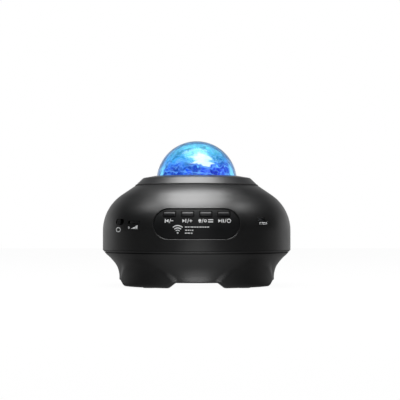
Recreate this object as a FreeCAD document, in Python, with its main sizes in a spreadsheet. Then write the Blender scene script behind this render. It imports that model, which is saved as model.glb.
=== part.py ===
import FreeCAD, Part
import math
import operator
import os
import Sketcher

# A star projector: a round black body on four feet, with a clear ripple dome on top.
# The origin is on the floor under the middle of the body, the controls face -Y, +Z is up.

# Driving sizes in millimetres and degrees, one group for each piece that owns them.
sizes = {
    # Shared fits and cuts
    "overrun": 1.0,
    "seat_gap": 0.1,
    "slot_gap": 0.15,
    "running_gap": 0.06,
    "ring_gap": 0.3,
    # Upper shell: a straight wall, a large shoulder, a cone and a level deck
    "shell_radius": 84.0,
    "shell_wall": 2.4,
    "seam_height": 32.4,
    "shoulder_radius": 38.5,
    "cone_pitch": 34.0,
    "deck_radius": 54.68,
    "deck_height": 89.65,
    "deck_hole_radius": 40.5,
    "post_circle": 60.5,
    "shell_post_radius": 3.5,
    "post_meet_height": 33.1,
    "chassis_post_circle": 50.0,
    "chassis_post_radius": 3.2,
    # Lower base: a bowl with a rim band, a tongue into the shell and four feet
    "base_wall": 2.4,
    "rim_gap": 0.3,
    "band_height": 30.0,
    "corner_radius": 69.3,
    "corner_height": 18.0,
    "corner_round": 8.0,
    "skirt_radius": 68.1,
    "base_underside": 5.2,
    "floor_thickness": 2.2,
    "tongue_wall": 1.4,
    "tongue_height": 2.0,
    "base_post_radius": 4.5,
    "counterbore_radius": 3.1,
    "counterbore_height": 22.0,
    # Feet: lobes that stand a little proud of the bowl, with gaps between them
    "foot_bottom": 0.6,
    "foot_inner_radius": 46.0,
    "foot_round": 2.5,
    "lobe_proud": 0.8,
    "lobe_arch_radius": 42.9,
    "lobe_arch_top": 20.5,
    "gap_floor_half": 26.35,
    "gap_top_half": 18.7,
    "foot_floor": 2.4,
    "pad_radius": 6.0,
    "pad_height": 1.6,
    "pad_circle": 57.0,
    # Top ring round the dome
    "bezel_radius": 53.9,
    "bezel_seat_radius": 52.3,
    "bezel_groove": 0.5,
    "bezel_edge": 0.5,
    "bezel_crown_radius": 48.0,
    "bezel_crown_rise": 6.65,
    "bezel_height": 8.55,
    "bezel_inner_radius": 37.2,
    "bezel_lip": 1.6,
    "bezel_rib_radius": 41.5,
    "bezel_crown_round": 3.0,
    "bezel_edge_round": 0.5,
    "bezel_hollow_inner": 46.0,
    "bezel_hollow_outer": 50.6,
    "bezel_hollow_depth": 3.6,
    "bezel_boss_radius": 2.6,
    "bezel_screw_circle": 48.3,
    "bezel_screw_angle": 22.5,
    # Outer dome
    "dome_radius": 36.0,
    "dome_center_rise": 3.85,
    "dome_wall": 1.6,
    "dome_flange_radius": 43.5,
    "dome_flange": 1.5,
    # Rotor: ripple dome, ring gear and star disc
    "ripple_radius": 33.0,
    "ripple_wall": 1.5,
    "ripple_flange_radius": 36.0,
    "ripple_flange": 1.2,
    "gear_module": 1.0,
    "ring_teeth": 76.0,
    "ring_addendum": 0.7,
    "pinion_teeth": 12.0,
    "tooth_addendum": 1.0,
    "tooth_root": 1.25,
    "tooth_backlash": 0.2,
    "pressure_angle": 20.0,
    "gear_drop": 6.15,
    "gear_height": 3.5,
    "gear_web": 1.6,
    "gear_rim_inner": 33.0,
    "collar_wall": 2.2,
    "collar_depth": 3.5,
    "spoke_width": 3.0,
    "hub_radius": 10.4,
    "star_disc_radius": 8.5,
    "star_disc_thickness": 1.0,
    "star_ledge": 1.5,
    # Light well that carries the rotor
    "well_bore": 27.0,
    "well_wall": 2.6,
    "well_flange_radius": 35.0,
    "well_flange": 1.4,
    "well_screw_circle": 32.4,
    # Chassis plate
    "chassis_drop": 17.45,
    "chassis_thickness": 2.2,
    "chassis_radius": 55.5,
    "chassis_hole_radius": 23.0,
    # Laser, heat sink and lamp board
    "laser_radius": 6.0,
    "laser_gap": 14.0,
    "laser_rise": 7.4,
    "laser_lens_radius": 4.4,
    "laser_lens_thickness": 1.5,
    "sink_radius": 25.5,
    "sink_thickness": 2.2,
    "sink_boss_radius": 9.0,
    "fin_depth": 11.0,
    "fin_thickness": 1.2,
    "fin_pitch": 5.4,
    "lamp_board_radius": 26.0,
    "board_thickness": 1.6,
    "lamp_circle": 16.0,
    "lamp_width": 5.0,
    "lamp_height": 1.6,
    # Gear motor
    "motor_radius": 12.0,
    "motor_height": 17.0,
    "motor_boss_radius": 3.4,
    "motor_boss": 1.8,
    "motor_ear_reach": 16.5,
    "motor_ear_width": 7.0,
    "motor_ear_thickness": 1.2,
    "motor_screw_reach": 14.3,
    "motor_shaft_radius": 1.5,
    "motor_shaft_depth": 8.0,
    # Screws
    "screw_radius": 1.4,
    "screw_head_radius": 2.7,
    "screw_head": 1.8,
    "screw_length": 12.0,
    "base_screw_length": 22.0,
    "small_screw_radius": 0.9,
    "small_screw_head_radius": 1.8,
    "small_screw_head": 1.2,
    "small_screw_length": 4.0,
    "recess_width": 0.5,
    "screw_gap": 0.05,
    # Control panel, sunk into a stadium opening, and its four buttons
    "panel_half_length": 37.0,
    "panel_half_height": 13.3,
    "panel_sunk": 0.9,
    "panel_thickness": 1.6,
    "panel_flange": 1.4,
    "panel_flange_reach": 2.5,
    "panel_boss_reach": 30.0,
    "panel_boss_radius": 2.4,
    "button_pitch": 15.25,
    "button_half_width": 4.85,
    "button_half_height": 1.85,
    "button_rise": 8.3,
    "button_proud": 0.6,
    "button_round": 0.7,
    "button_skirt": 1.0,
    "button_depth": 11.95,
    "button_travel": 0.6,
    "plunger_radius": 1.2,
    "plunger_reach": 0.95,
    "plunger_depth": 0.6,
    "switch_half_width": 2.25,
    "switch_depth": 1.6,
    "button_board_half": 34.0,
    "button_board_below": 9.4,
    "button_board_above": 12.0,
    # Power slide switch at the left
    "slide_angle": -52.8,
    "slide_rise": 1.6,
    "slide_slot_half": 6.0,
    "slide_slot_half_height": 2.65,
    "knob_half": 2.4,
    "knob_half_height": 2.3,
    "knob_sunk": 0.3,
    "knob_groove": 0.4,
    "knob_travel": 4.0,
    "slider_half": 7.0,
    "slider_half_height": 3.2,
    "slider_gap": 1.24,
    "slider_thickness": 1.2,
    "lever_half": 0.75,
    "lever_depth": 3.5,
    "slide_body_half": 6.5,
    "slide_body_gap": 2.2,
    "slide_body_depth": 4.5,
    "slide_body_rise": 3.0,
    # Volume wheel at the left
    "wheel_angle": -40.0,
    "wheel_rise": 3.2,
    "wheel_slot_half": 6.7,
    "wheel_slot_half_height": 1.25,
    "wheel_radius": 8.0,
    "wheel_thickness": 2.0,
    "wheel_proud": 0.82,
    "wheel_shaft_radius": 1.5,
    "wheel_shaft_depth": 1.2,
    "notch_radius": 0.35,
    "notch_count": 36.0,
    "pot_radius": 4.5,
    "pot_height": 1.9,
    # Board of the left controls and the shelf that carries it
    "side_board_angle": -46.0,
    "side_board_drop": 3.4,
    "side_board_gap": 1.95,
    "side_board_depth": 15.4,
    "side_board_half": 15.0,
    "shelf_thickness": 2.5,
    "shelf_screw_reach": 12.5,
    "shelf_screw_inset": 3.0,
    # Power inlet at the right
    "port_angle": 41.8,
    "port_rise": 3.8,
    "port_slot_half": 4.0,
    "port_slot_half_height": 1.55,
    "socket_half": 3.75,
    "socket_half_height": 1.3,
    "socket_depth": 5.6,
    "socket_wall": 0.35,
    "socket_tongue": 0.5,
    "socket_sunk": 1.2,
    "port_board_half": 9.0,
    "port_board_gap": 1.04,
    "port_board_depth": 15.2,
    "port_screw_reach": 6.0,
    # Speaker, facing the floor
    "gasket_inner_radius": 22.4,
    "gasket_outer_radius": 25.6,
    "gasket_thickness": 0.8,
    "speaker_radius": 29.5,
    "speaker_flange": 1.4,
    "basket_opening": 22.4,
    "basket_lip_radius": 24.2,
    "basket_neck_radius": 14.0,
    "basket_top": 22.0,
    "basket_wall": 1.2,
    "speaker_screw_circle": 27.4,
    "magnet_radius": 16.0,
    "magnet_height": 5.8,
    "magnet_plate": 2.4,
    "pole_radius": 7.2,
    "magnet_bore": 9.4,
    "coil_radius": 8.4,
    "coil_wall": 0.8,
    "coil_high": 26.5,
    "cone_radius": 18.6,
    "cone_low": 11.5,
    "cone_wall": 0.6,
    "cone_rise": 6.5,
    "dust_cap_radius": 5.0,
    "dust_cap_drop": 1.9,
    "surround_outer_radius": 22.2,
    "surround_wall": 0.5,
    "surround_drop": 1.3,
    "grille_hole_radius": 1.1,
    "grille_pitch": 5.2,
    "grille_rings": 3.0,
    # Main board on its standoffs
    "main_board_half_length": 36.0,
    "main_board_half_width": 30.0,
    "main_board_low": 36.0,
    "standoff_reach": 30.0,
    "standoff_side": 24.0,
    "standoff_radius": 3.0,
    "chip_half": 5.0,
    "chip_height": 1.4,
    "shield_half_length": 9.0,
    "shield_half_width": 6.0,
    "shield_height": 2.4,
    "shield_place": 18.0,
    "can_radius": 4.0,
    "can_height": 8.0,
    "can_pitch": 10.0,
    "can_place": 18.0,
}

doc = FreeCAD.newDocument("StarProjector")
sheet = doc.addObject("Spreadsheet::Sheet", "Sizes")


class Size:
    # A number together with the sheet expression that gives it
    def __init__(self, number, text):
        self.number = number
        self.text = text

    def __add__(self, other):
        return joined(self, "+", other)

    def __radd__(self, other):
        return joined(other, "+", self)

    def __sub__(self, other):
        return joined(self, "-", other)

    def __rsub__(self, other):
        return joined(other, "-", self)

    def __mul__(self, other):
        return joined(self, "*", other)

    def __rmul__(self, other):
        return joined(other, "*", self)

    def __truediv__(self, other):
        return joined(self, "/", other)

    def __rtruediv__(self, other):
        return joined(other, "/", self)

    def __neg__(self):
        return joined(0, "-", self)


signs = {"+": operator.add, "-": operator.sub, "*": operator.mul, "/": operator.truediv}


def as_size(value):
    return value if isinstance(value, Size) else Size(float(value), repr(float(value)))


def joined(left, sign, right):
    left, right = as_size(left), as_size(right)
    number = signs[sign](left.number, right.number)
    return Size(number, f"({left.text} {sign} {right.text})")


def sine(angle):
    angle = as_size(angle)
    return Size(math.sin(math.radians(angle.number)), f"sin({angle.text})")


def cosine(angle):
    angle = as_size(angle)
    return Size(math.cos(math.radians(angle.number)), f"cos({angle.text})")


def tangent(angle):
    return sine(angle) / cosine(angle)


def root(value):
    value = as_size(value)
    return Size(math.sqrt(value.number), f"sqrt({value.text})")


# Each size becomes a named cell, and the same name in s is what the pieces below use.
class Names:
    pass


s = Names()
for row, (name, number) in enumerate(sizes.items(), start=1):
    sheet.set(f"A{row}", name)
    sheet.set(f"B{row}", str(number))
    sheet.setAlias(f"B{row}", name)
    setattr(s, name, Size(float(number), f"Sizes.{name}"))
doc.recompute()

nodes = []


def node(item, label):
    item.Label = label
    nodes.append(item)
    return item


def bind(item, prop, value):
    item.setExpression(prop, as_size(value).text)


def place(item, x=0, y=0, z=0, around=0):
    # The place is given before the turn about the upright axis of the body
    x, y, around = as_size(x), as_size(y), as_size(around)
    turned_x = x * cosine(around) - y * sine(around)
    turned_y = x * sine(around) + y * cosine(around)
    for axis, value in (("x", turned_x), ("y", turned_y), ("z", z)):
        bind(item, f"Placement.Base.{axis}", value)


def block(name, x, y, z, around=0):
    # A box between the low and high value on each axis
    item = doc.addObject("Part::Box", name)
    for prop, (low, high) in (("Length", x), ("Width", y), ("Height", z)):
        bind(item, prop, as_size(high) - low)
    item.Placement.Rotation = FreeCAD.Rotation(FreeCAD.Vector(0, 0, 1), as_size(around).number)
    bind(item, "Placement.Rotation.Angle", around)
    place(item, x[0], y[0], z[0], around)
    return item


def rod(name, radius, low, high, at=(0, 0), around=0, along="z"):
    # A cylinder from low to high; along y, at holds its x and z
    item = doc.addObject("Part::Cylinder", name)
    bind(item, "Radius", radius)
    bind(item, "Height", as_size(high) - low)
    if along == "y":
        item.Placement.Rotation = FreeCAD.Rotation(FreeCAD.Vector(1, 0, 0), -90)
        place(item, at[0], low, at[1])
    else:
        place(item, at[0], at[1], low, around)
    return item


def ball(name, radius, z):
    item = doc.addObject("Part::Sphere", name)
    bind(item, "Radius", radius)
    place(item, 0, 0, z)
    return item


def fuse(name, *items):
    item = doc.addObject("Part::MultiFuse", name)
    item.Shapes = list(items)
    return item


def group(name, *items):
    # Separate solids that share one node
    item = doc.addObject("Part::Compound", name)
    item.Links = list(items)
    return item


def common(name, *items):
    item = doc.addObject("Part::MultiCommon", name)
    item.Shapes = list(items)
    return item


def cut(name, base, *tools):
    item = doc.addObject("Part::Cut", name)
    item.Base = base
    item.Tool = tools[0] if len(tools) == 1 else group(name + "_tools", *tools)
    return item


def ring(name, outer, inner, low, high, at=(0, 0), around=0):
    full = rod(name + "_full", outer, low, high, at, around)
    bore = rod(name + "_bore", inner, as_size(low) - s.overrun, as_size(high) + s.overrun, at, around)
    return cut(name, full, bore)


def trace(sketch, points):
    # A closed outline of straight lines, each corner held by its two places
    ends = [FreeCAD.Vector(as_size(a).number, as_size(b).number, 0) for a, b in points]
    first = sketch.GeometryCount
    count = len(points)
    for start, end in zip(ends, ends[1:] + ends[:1]):
        sketch.addGeometry(Part.LineSegment(start, end), False)
    for index in range(count):
        follower = first + (index + 1) % count
        sketch.addConstraint(Sketcher.Constraint("Coincident", first + index, 2, follower, 1))
    for index, point in enumerate(points):
        for kind, value in zip(("DistanceX", "DistanceY"), point):
            value = as_size(value)
            rule = Sketcher.Constraint(kind, -1, 1, first + index, 1, value.number)
            place_of_rule = sketch.addConstraint(rule)
            sketch.setExpression(f"Constraints[{place_of_rule}]", value.text)


def outline(name, plane, *loops):
    body = doc.addObject("PartDesign::Body", name)
    sketch = body.newObject("Sketcher::SketchObject", name + "_outline")
    origin_plane = [item for item in body.Origin.OriginFeatures if item.Role == plane][0]
    sketch.AttachmentSupport = [(origin_plane, "")]
    sketch.MapMode = "FlatFace"
    for points in loops:
        trace(sketch, points)
    return body, sketch


def turned(name, points, rounds=()):
    # A profile of radius and height, turned about the upright axis, with its corners rounded
    body, sketch = outline(name, "XZ_Plane", points)
    turn = body.newObject("PartDesign::Revolution", name + "_turn")
    turn.Profile = sketch
    turn.ReferenceAxis = (sketch, ["V_Axis"])
    turn.Angle = 360
    doc.recompute()
    for index, (radius, height, size) in enumerate(rounds):
        radius, height = as_size(radius).number, as_size(height).number
        base = body.Tip
        fillet = body.newObject("PartDesign::Fillet", f"{name}_round_{index}")
        fillet.Base = (base, circles_at(base.Shape, radius, height))
        bind(fillet, "Radius", size)
        doc.recompute()
    return body


def circles_at(shape, radius, height):
    # The names of the level circular edges with this radius and height
    found = []
    for index, edge in enumerate(shape.Edges, start=1):
        level = abs(edge.BoundBox.ZMax - height) < 0.001 and abs(edge.BoundBox.ZMin - height) < 0.001
        if level and abs(edge.BoundBox.XMax - radius) < 0.001:
            found.append(f"Edge{index}")
    return found


def stadium(name, half_length, half_height, height, y, around=0):
    # A level prism along y with round ends, centred at this height
    reach = half_length - half_height
    middle = block(name + "_middle", (-reach, reach), y, (height - half_height, height + half_height))
    left = rod(name + "_left", half_height, y[0], y[1], (-reach, height), along="y")
    right = rod(name + "_right", half_height, y[0], y[1], (reach, height), along="y")
    return swing(fuse(name, middle, left, right), around)


def swing(item, around):
    # Turns a finished boolean about the upright axis of the body
    item.Placement.Rotation = FreeCAD.Rotation(FreeCAD.Vector(0, 0, 1), as_size(around).number)
    bind(item, "Placement.Rotation.Angle", around)
    return item


def screw(name, at, seat, reach, up=False, small=False, around=0):
    # The head lies on the seat, and the shaft goes down from it, or up for a screw set from below
    radius = s.small_screw_radius if small else s.screw_radius
    head_radius = s.small_screw_head_radius if small else s.screw_head_radius
    head = s.small_screw_head if small else s.screw_head
    top, tip = (seat - head, seat + reach) if up else (seat + head, seat - reach)
    low_head, high_head = (top, seat) if up else (seat, top)
    low_shaft, high_shaft = (seat, tip) if up else (tip, seat)
    shaft = rod(name + "_shaft", radius, low_shaft, high_shaft, at, around)
    cap = rod(name + "_head", head_radius, low_head, high_head, at, around)
    half = s.recess_width / 2
    slot_low = top - s.overrun if up else top - head / 2
    slot_high = top + head / 2 if up else top + s.overrun
    reach_of_slot = head_radius * recess_share
    x, y = at
    first = block(name + "_slot_a", (x - reach_of_slot, x + reach_of_slot), (y - half, y + half),
                  (slot_low, slot_high), around)
    second = block(name + "_slot_b", (x - half, x + half), (y - reach_of_slot, y + reach_of_slot),
                   (slot_low, slot_high), around)
    return cut(name, fuse(name + "_blank", shaft, cap), first, second)


def on_circle(circle, angle):
    return as_size(circle) * cosine(angle), as_size(circle) * sine(angle)


recess_share = 0.62
pinion_turn_share = 0.5
button_shares = (-1.5, -0.5, 0.5, 1.5)
button_names = ("volume_down_button", "volume_up_button", "light_button", "mode_button")
panel_share = 0.402
right_angle = 90
quarters = (0, 90, 180, 270)
diagonals = (45, 135, 225, 315)
thirds = (0, 120, 240)
well_screw_angles = (30, 150, 270)
lamp_angles = (0, 60, 120, 180, 240, 300)


# Upper shell
def shell_solid(name, depth, low):
    # The body of the shell outline, everywhere this deep under the outer skin
    depth = as_size(depth)
    top = s.deck_height - depth
    wall = s.shell_radius - depth
    lean = tangent(s.cone_pitch)
    corner = s.deck_height - (wall - s.deck_radius) * lean - depth / cosine(s.cone_pitch)
    edge = s.deck_radius + depth / lean - depth / sine(s.cone_pitch)
    points = [(0, low), (wall, low), (wall, corner), (edge, top), (0, top)]
    return turned(name, points, [(wall, corner, s.shoulder_radius - depth)])


def wall_at(height, depth):
    # The radius of the shell wall at this height on the shoulder, this deep under the skin
    lean = tangent(s.cone_pitch)
    corner = s.deck_height - (s.shell_radius - s.deck_radius) * lean
    center = corner - s.shoulder_radius * tangent((right_angle - s.cone_pitch) / 2)
    radius = s.shoulder_radius - depth
    rise = height - center
    return s.shell_radius - s.shoulder_radius + root(radius * radius - rise * rise)


# Levels: the inner works hang from the deck, and the controls keep their place between seam and deck
chassis_top = s.deck_height - s.chassis_drop
gear_low = s.deck_height - s.gear_drop
dome_center = s.deck_height + s.dome_center_rise
laser_low = s.main_board_low + s.laser_gap
laser_high = chassis_top + s.laser_rise
panel_center = s.seam_height + (s.deck_height - s.seam_height) * panel_share
button_center = panel_center + s.button_rise
slide_height = panel_center + s.slide_rise
port_height = panel_center + s.port_rise
side_board_top = slide_height - s.side_board_drop
slide_body_top = slide_height + s.slide_body_rise
wheel_height = side_board_top + s.wheel_rise

# Depths: what stands behind the wall is set off from the wall at its own height
button_back = wall_at(button_center, 0) - s.button_depth
slider_front = wall_at(slide_height + s.slider_half_height, s.shell_wall) - s.slider_gap
slide_body_front = slider_front - s.slide_body_gap
wheel_circle = wall_at(wheel_height, 0) + s.wheel_proud - s.wheel_radius
side_board_front = wall_at(side_board_top, s.shell_wall) - s.side_board_gap
side_board_back = side_board_front - s.side_board_depth
shelf_screw_place = side_board_back + s.shelf_screw_inset
port_board_front = wall_at(port_height, s.shell_wall) - s.port_board_gap
port_board_back = port_board_front - s.port_board_depth

shell_inside_top = s.deck_height - s.shell_wall
shell_outside = shell_solid("shell_outside", 0, s.seam_height)
shell_inside = shell_solid("shell_inside", s.shell_wall, s.seam_height - s.overrun)
shell_posts = []
pilot_holes = []
for index, angle in enumerate(quarters):
    spot = on_circle(s.post_circle, angle)
    shell_posts.append(rod(f"shell_post_{index}", s.shell_post_radius, s.post_meet_height,
                           s.deck_height, spot))
    pilot_holes.append(rod(f"shell_pilot_{index}", s.screw_radius + s.screw_gap,
                           s.post_meet_height - s.overrun,
                           s.counterbore_height + s.base_screw_length + s.overrun, spot))
for index, angle in enumerate(diagonals):
    spot = on_circle(s.chassis_post_circle, angle)
    shell_posts.append(rod(f"chassis_post_{index}", s.chassis_post_radius, chassis_top,
                           s.deck_height, spot))
    pilot_holes.append(rod(f"chassis_pilot_{index}", s.screw_radius + s.screw_gap,
                           chassis_top - s.overrun,
                           chassis_top + s.screw_length, spot))
bezel_screw_spots = [on_circle(s.bezel_screw_circle, s.bezel_screw_angle + angle) for angle in quarters]
for index, spot in enumerate(bezel_screw_spots):
    pilot_holes.append(rod(f"deck_hole_{index}", s.small_screw_radius + s.slot_gap,
                           shell_inside_top - s.overrun, s.deck_height + s.overrun, spot))

# Shelves inside the shell for the boards behind the side controls
side_shelf_top = side_board_top - s.board_thickness
port_board_top = port_height - s.socket_half_height
port_shelf_top = port_board_top - s.board_thickness
side_shelf = block("side_shelf", (-s.side_board_half, s.side_board_half),
                   (-s.shell_radius, -side_board_back),
                   (side_shelf_top - s.shelf_thickness, side_shelf_top), s.side_board_angle)
port_shelf = block("port_shelf", (-s.port_board_half, s.port_board_half),
                   (-s.shell_radius, -port_board_back),
                   (port_shelf_top - s.shelf_thickness, port_shelf_top), s.port_angle)
shelf_screw_spots = []
for reach, angle, seat in ((s.shelf_screw_reach, s.side_board_angle, side_board_top),
                           (s.port_screw_reach, s.port_angle, port_board_top)):
    for side in (-1, 1):
        shelf_screw_spots.append(((side * reach, -shelf_screw_place), angle, seat))
for index, (spot, angle, seat) in enumerate(shelf_screw_spots):
    pilot_holes.append(rod(f"shelf_pilot_{index}", s.small_screw_radius + s.screw_gap,
                           seat - s.small_screw_length - s.slot_gap, seat, spot, angle))

# Openings in the wall for the panel, the side controls and the inlet
through_wall = (-s.shell_radius - s.overrun, -(s.post_circle + s.shell_post_radius))
panel_opening = stadium("panel_opening", s.panel_half_length, s.panel_half_height,
                        panel_center, through_wall)
slide_slot = stadium("slide_slot", s.slide_slot_half, s.slide_slot_half_height, slide_height,
                     (through_wall[0], -slider_front), s.slide_angle)
wheel_slot = block("wheel_slot", (-s.wheel_slot_half, s.wheel_slot_half),
                   (through_wall[0], -slider_front),
                   (wheel_height - s.wheel_slot_half_height, wheel_height + s.wheel_slot_half_height),
                   s.wheel_angle)
port_slot = block("port_slot", (-s.port_slot_half, s.port_slot_half),
                  (through_wall[0], -slider_front),
                  (port_height - s.port_slot_half_height, port_height + s.port_slot_half_height),
                  s.port_angle)
dome_hole = rod("dome_hole", s.deck_hole_radius, shell_inside_top - s.overrun,
                s.deck_height + s.overrun)
shell_cavity = cut("shell_cavity", shell_inside, *shell_posts, side_shelf, port_shelf)
upper_shell = node(cut("upper_shell_solid", shell_outside, shell_cavity, dome_hole, panel_opening,
                       slide_slot, wheel_slot, port_slot, *pilot_holes), "upper_shell")

# Lower base
rim_height = s.seam_height - s.rim_gap
band_radius = s.corner_radius + s.band_height - s.corner_height
floor_top = s.base_underside + s.floor_thickness
tongue_radius = s.shell_radius - s.shell_wall - s.rim_gap
tongue_inner = tongue_radius - s.tongue_wall
tongue_top = rim_height + s.tongue_height
lift = s.base_wall * root(2)
bowl_outside = turned("bowl_outside", [
    (0, s.base_underside), (s.skirt_radius, s.base_underside), (s.corner_radius, s.corner_height),
    (band_radius, s.band_height), (s.shell_radius, rim_height), (tongue_radius, rim_height),
    (tongue_radius, tongue_top), (0, tongue_top),
], [(s.corner_radius, s.corner_height, s.corner_round)])
bowl_inside = turned("bowl_inside", [
    (0, floor_top), (s.skirt_radius - s.base_wall, floor_top),
    (s.corner_radius - s.base_wall, s.corner_height - s.base_wall + lift),
    (tongue_inner, s.band_height + tongue_inner - band_radius + lift),
    (tongue_inner, tongue_top + s.overrun), (0, tongue_top + s.overrun),
])

# Feet: a ring of lobes under and round the bowl, arched towards each diagonal
lobe_radius = s.skirt_radius + s.lobe_proud
lobe_shoulder = s.corner_radius + s.lobe_proud
lobe_merge = s.lobe_arch_top + s.lobe_proud
lobe_ring = turned("lobe_ring", [
    (s.foot_inner_radius, s.foot_bottom), (lobe_radius, s.foot_bottom),
    (lobe_shoulder, s.corner_height),
    (s.corner_radius + lobe_merge - s.corner_height, lobe_merge),
    (s.foot_inner_radius, lobe_merge),
], [(lobe_radius, s.foot_bottom, s.foot_round)])
arches = []
for index, angle in enumerate((45, 135)):
    arch = rod(f"lobe_arch_{index}", s.lobe_arch_radius, -s.shell_radius, s.shell_radius,
               (0, s.lobe_arch_top - s.lobe_arch_radius), along="y")
    arches.append(swing(group(f"lobe_arch_turned_{index}", arch), angle))
lobes = common("lobes", lobe_ring, fuse("lobe_arches", *arches))


def foot_gap(name, spread, top, around):
    # The arch-like gap between two feet, a prism along y that narrows upwards
    floor, height = s.gap_floor_half + spread, as_size(top)
    narrow = s.gap_top_half + spread
    body, sketch = outline(name, "XZ_Plane", [(-floor, 0), (floor, 0), (narrow, height), (-narrow, height)])
    pad = body.newObject("PartDesign::Pad", name + "_pad")
    pad.Profile = sketch
    pad.Midplane = True
    bind(pad, "Length", s.shell_radius * 2)
    return swing(group(name + "_turned", body), around)


foot_gaps = [foot_gap("gap_front", 0, s.base_underside, 0), foot_gap("gap_side", 0, s.base_underside, 90)]
foot_hollow = ring("foot_hollow", s.skirt_radius - s.base_wall, s.foot_inner_radius + s.base_wall,
                   s.foot_bottom + s.foot_floor, floor_top)
hollow_gaps = [foot_gap("hollow_front", s.base_wall, floor_top + s.overrun, 0),
               foot_gap("hollow_side", s.base_wall, floor_top + s.overrun, 90)]
foot_hollows = cut("foot_hollows", foot_hollow, *hollow_gaps)

base_posts = []
base_holes = []
for index, angle in enumerate(quarters):
    spot = on_circle(s.post_circle, angle)
    base_posts.append(rod(f"base_post_{index}", s.base_post_radius, s.base_underside,
                          s.post_meet_height, spot))
    base_holes.append(rod(f"base_counterbore_{index}", s.counterbore_radius,
                          s.base_underside - s.overrun, s.counterbore_height, spot))
    base_holes.append(rod(f"base_hole_{index}", s.screw_radius + s.slot_gap,
                          s.counterbore_height - s.overrun, s.post_meet_height + s.overrun, spot))
standoff_spots = [(a * s.standoff_reach, b * s.standoff_side) for a in (-1, 1) for b in (-1, 1)]
for index, spot in enumerate(standoff_spots):
    base_posts.append(rod(f"standoff_{index}", s.standoff_radius, s.base_underside,
                          s.main_board_low, spot))
    base_holes.append(rod(f"standoff_pilot_{index}", s.small_screw_radius + s.screw_gap,
                          s.main_board_low - s.small_screw_length * 2, s.main_board_low + s.overrun, spot))
speaker_screw_spots = [on_circle(s.speaker_screw_circle, angle) for angle in diagonals]
speaker_seat = floor_top + s.gasket_thickness
speaker_bosses = ring("speaker_bosses", s.speaker_radius, s.gasket_outer_radius + s.ring_gap,
                      s.base_underside, speaker_seat)
for index, spot in enumerate(speaker_screw_spots):
    base_holes.append(rod(f"speaker_pilot_{index}", s.small_screw_radius + s.screw_gap,
                          speaker_seat + s.speaker_flange - s.small_screw_length - s.slot_gap,
                          speaker_seat + s.overrun, spot))
for index, angle in enumerate(diagonals):
    base_holes.append(rod(f"pad_pocket_{index}", s.pad_radius + s.slot_gap, 0, s.pad_height,
                          on_circle(s.pad_circle, angle)))

# Speaker grille: a middle hole and rings of six, twelve and eighteen
base_holes.append(rod("grille_middle", s.grille_hole_radius, s.base_underside - s.overrun,
                      floor_top + s.overrun))
for circle in range(1, int(s.grille_rings.number) + 1):
    holes = circle * 6
    for index in range(holes):
        base_holes.append(rod(f"grille_{circle}_{index}", s.grille_hole_radius,
                              s.base_underside - s.overrun, floor_top + s.overrun,
                              on_circle(s.grille_pitch * circle, 360 / holes * index)))
base_outside = cut("base_outside", fuse("base_blank", bowl_outside, lobes), *foot_gaps)
base_cavity = fuse("base_cavity", cut("bowl_cavity", bowl_inside, *base_posts, speaker_bosses), foot_hollows)
lower_base = node(cut("lower_base_solid", base_outside, base_cavity, *base_holes), "lower_base")
base_screws = [screw(f"base_screw_{index}", on_circle(s.post_circle, angle), s.counterbore_height,
                     s.base_screw_length, up=True) for index, angle in enumerate(quarters)]
node(group("base_screws_solids", *base_screws), "base_screws")
rubber_feet = [rod(f"pad_{index}", s.pad_radius, 0, s.pad_height, on_circle(s.pad_circle, angle))
               for index, angle in enumerate(diagonals)]
node(group("rubber_feet_solids", *rubber_feet), "rubber_feet")

# Outer dome: a hollow ball over a flange that rests on the deck
dome_ball = ball("dome_ball", s.dome_radius, dome_center)
dome_foot = rod("dome_foot", s.dome_flange_radius, s.deck_height, s.deck_height + s.dome_flange)
dome_bore = ball("dome_bore", s.dome_radius - s.dome_wall, dome_center)
dome_under = rod("dome_under", s.shell_radius, dome_center - s.dome_radius * 2, s.deck_height)
outer_dome = node(cut("outer_dome_solid", fuse("dome_blank", dome_ball, dome_foot), dome_bore, dome_under),
                  "outer_dome")

# Top bezel: a ring that traps the flange of the dome, hollow from below between its screw bosses
flange_top = s.deck_height + s.dome_flange
flange_clear = s.dome_flange_radius + s.ring_gap
bezel_crown = (s.bezel_crown_radius, s.deck_height + s.bezel_crown_rise)
bezel_side = s.deck_height + s.bezel_groove + s.bezel_edge
bezel_top = s.deck_height + s.bezel_height
bezel_blank = turned("bezel_blank", [
    (s.bezel_rib_radius, flange_top), (flange_clear, flange_top), (flange_clear, s.deck_height),
    (s.bezel_seat_radius, s.deck_height), (s.bezel_seat_radius, s.deck_height + s.bezel_groove),
    (s.bezel_radius, s.deck_height + s.bezel_groove), (s.bezel_radius, bezel_side), bezel_crown,
    (s.bezel_inner_radius, bezel_top), (s.bezel_inner_radius, bezel_top - s.bezel_lip),
    (s.bezel_rib_radius, bezel_top - s.bezel_lip),
], [(*bezel_crown, s.bezel_crown_round), (s.bezel_inner_radius, bezel_top, s.bezel_edge_round)])
bezel_hollow = ring("bezel_hollow", s.bezel_hollow_outer, s.bezel_hollow_inner, s.deck_height - s.overrun,
                    s.deck_height + s.bezel_hollow_depth)
bezel_bosses = [rod(f"bezel_boss_{index}", s.bezel_boss_radius, s.deck_height,
                    s.deck_height + s.bezel_hollow_depth, spot)
                for index, spot in enumerate(bezel_screw_spots)]
bezel_pilots = [rod(f"bezel_pilot_{index}", s.small_screw_radius + s.screw_gap, s.deck_height - s.overrun,
                    shell_inside_top + s.small_screw_length + s.slot_gap, spot)
                for index, spot in enumerate(bezel_screw_spots)]
top_bezel = node(cut("top_bezel_solid", bezel_blank, cut("bezel_pocket", bezel_hollow, *bezel_bosses),
                     *bezel_pilots), "top_bezel")
bezel_screws = [screw(f"bezel_screw_{index}", spot, shell_inside_top, s.small_screw_length,
                      up=True, small=True)
                for index, spot in enumerate(bezel_screw_spots)]
node(group("bezel_screws_solids", *bezel_screws), "bezel_screws")

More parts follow.
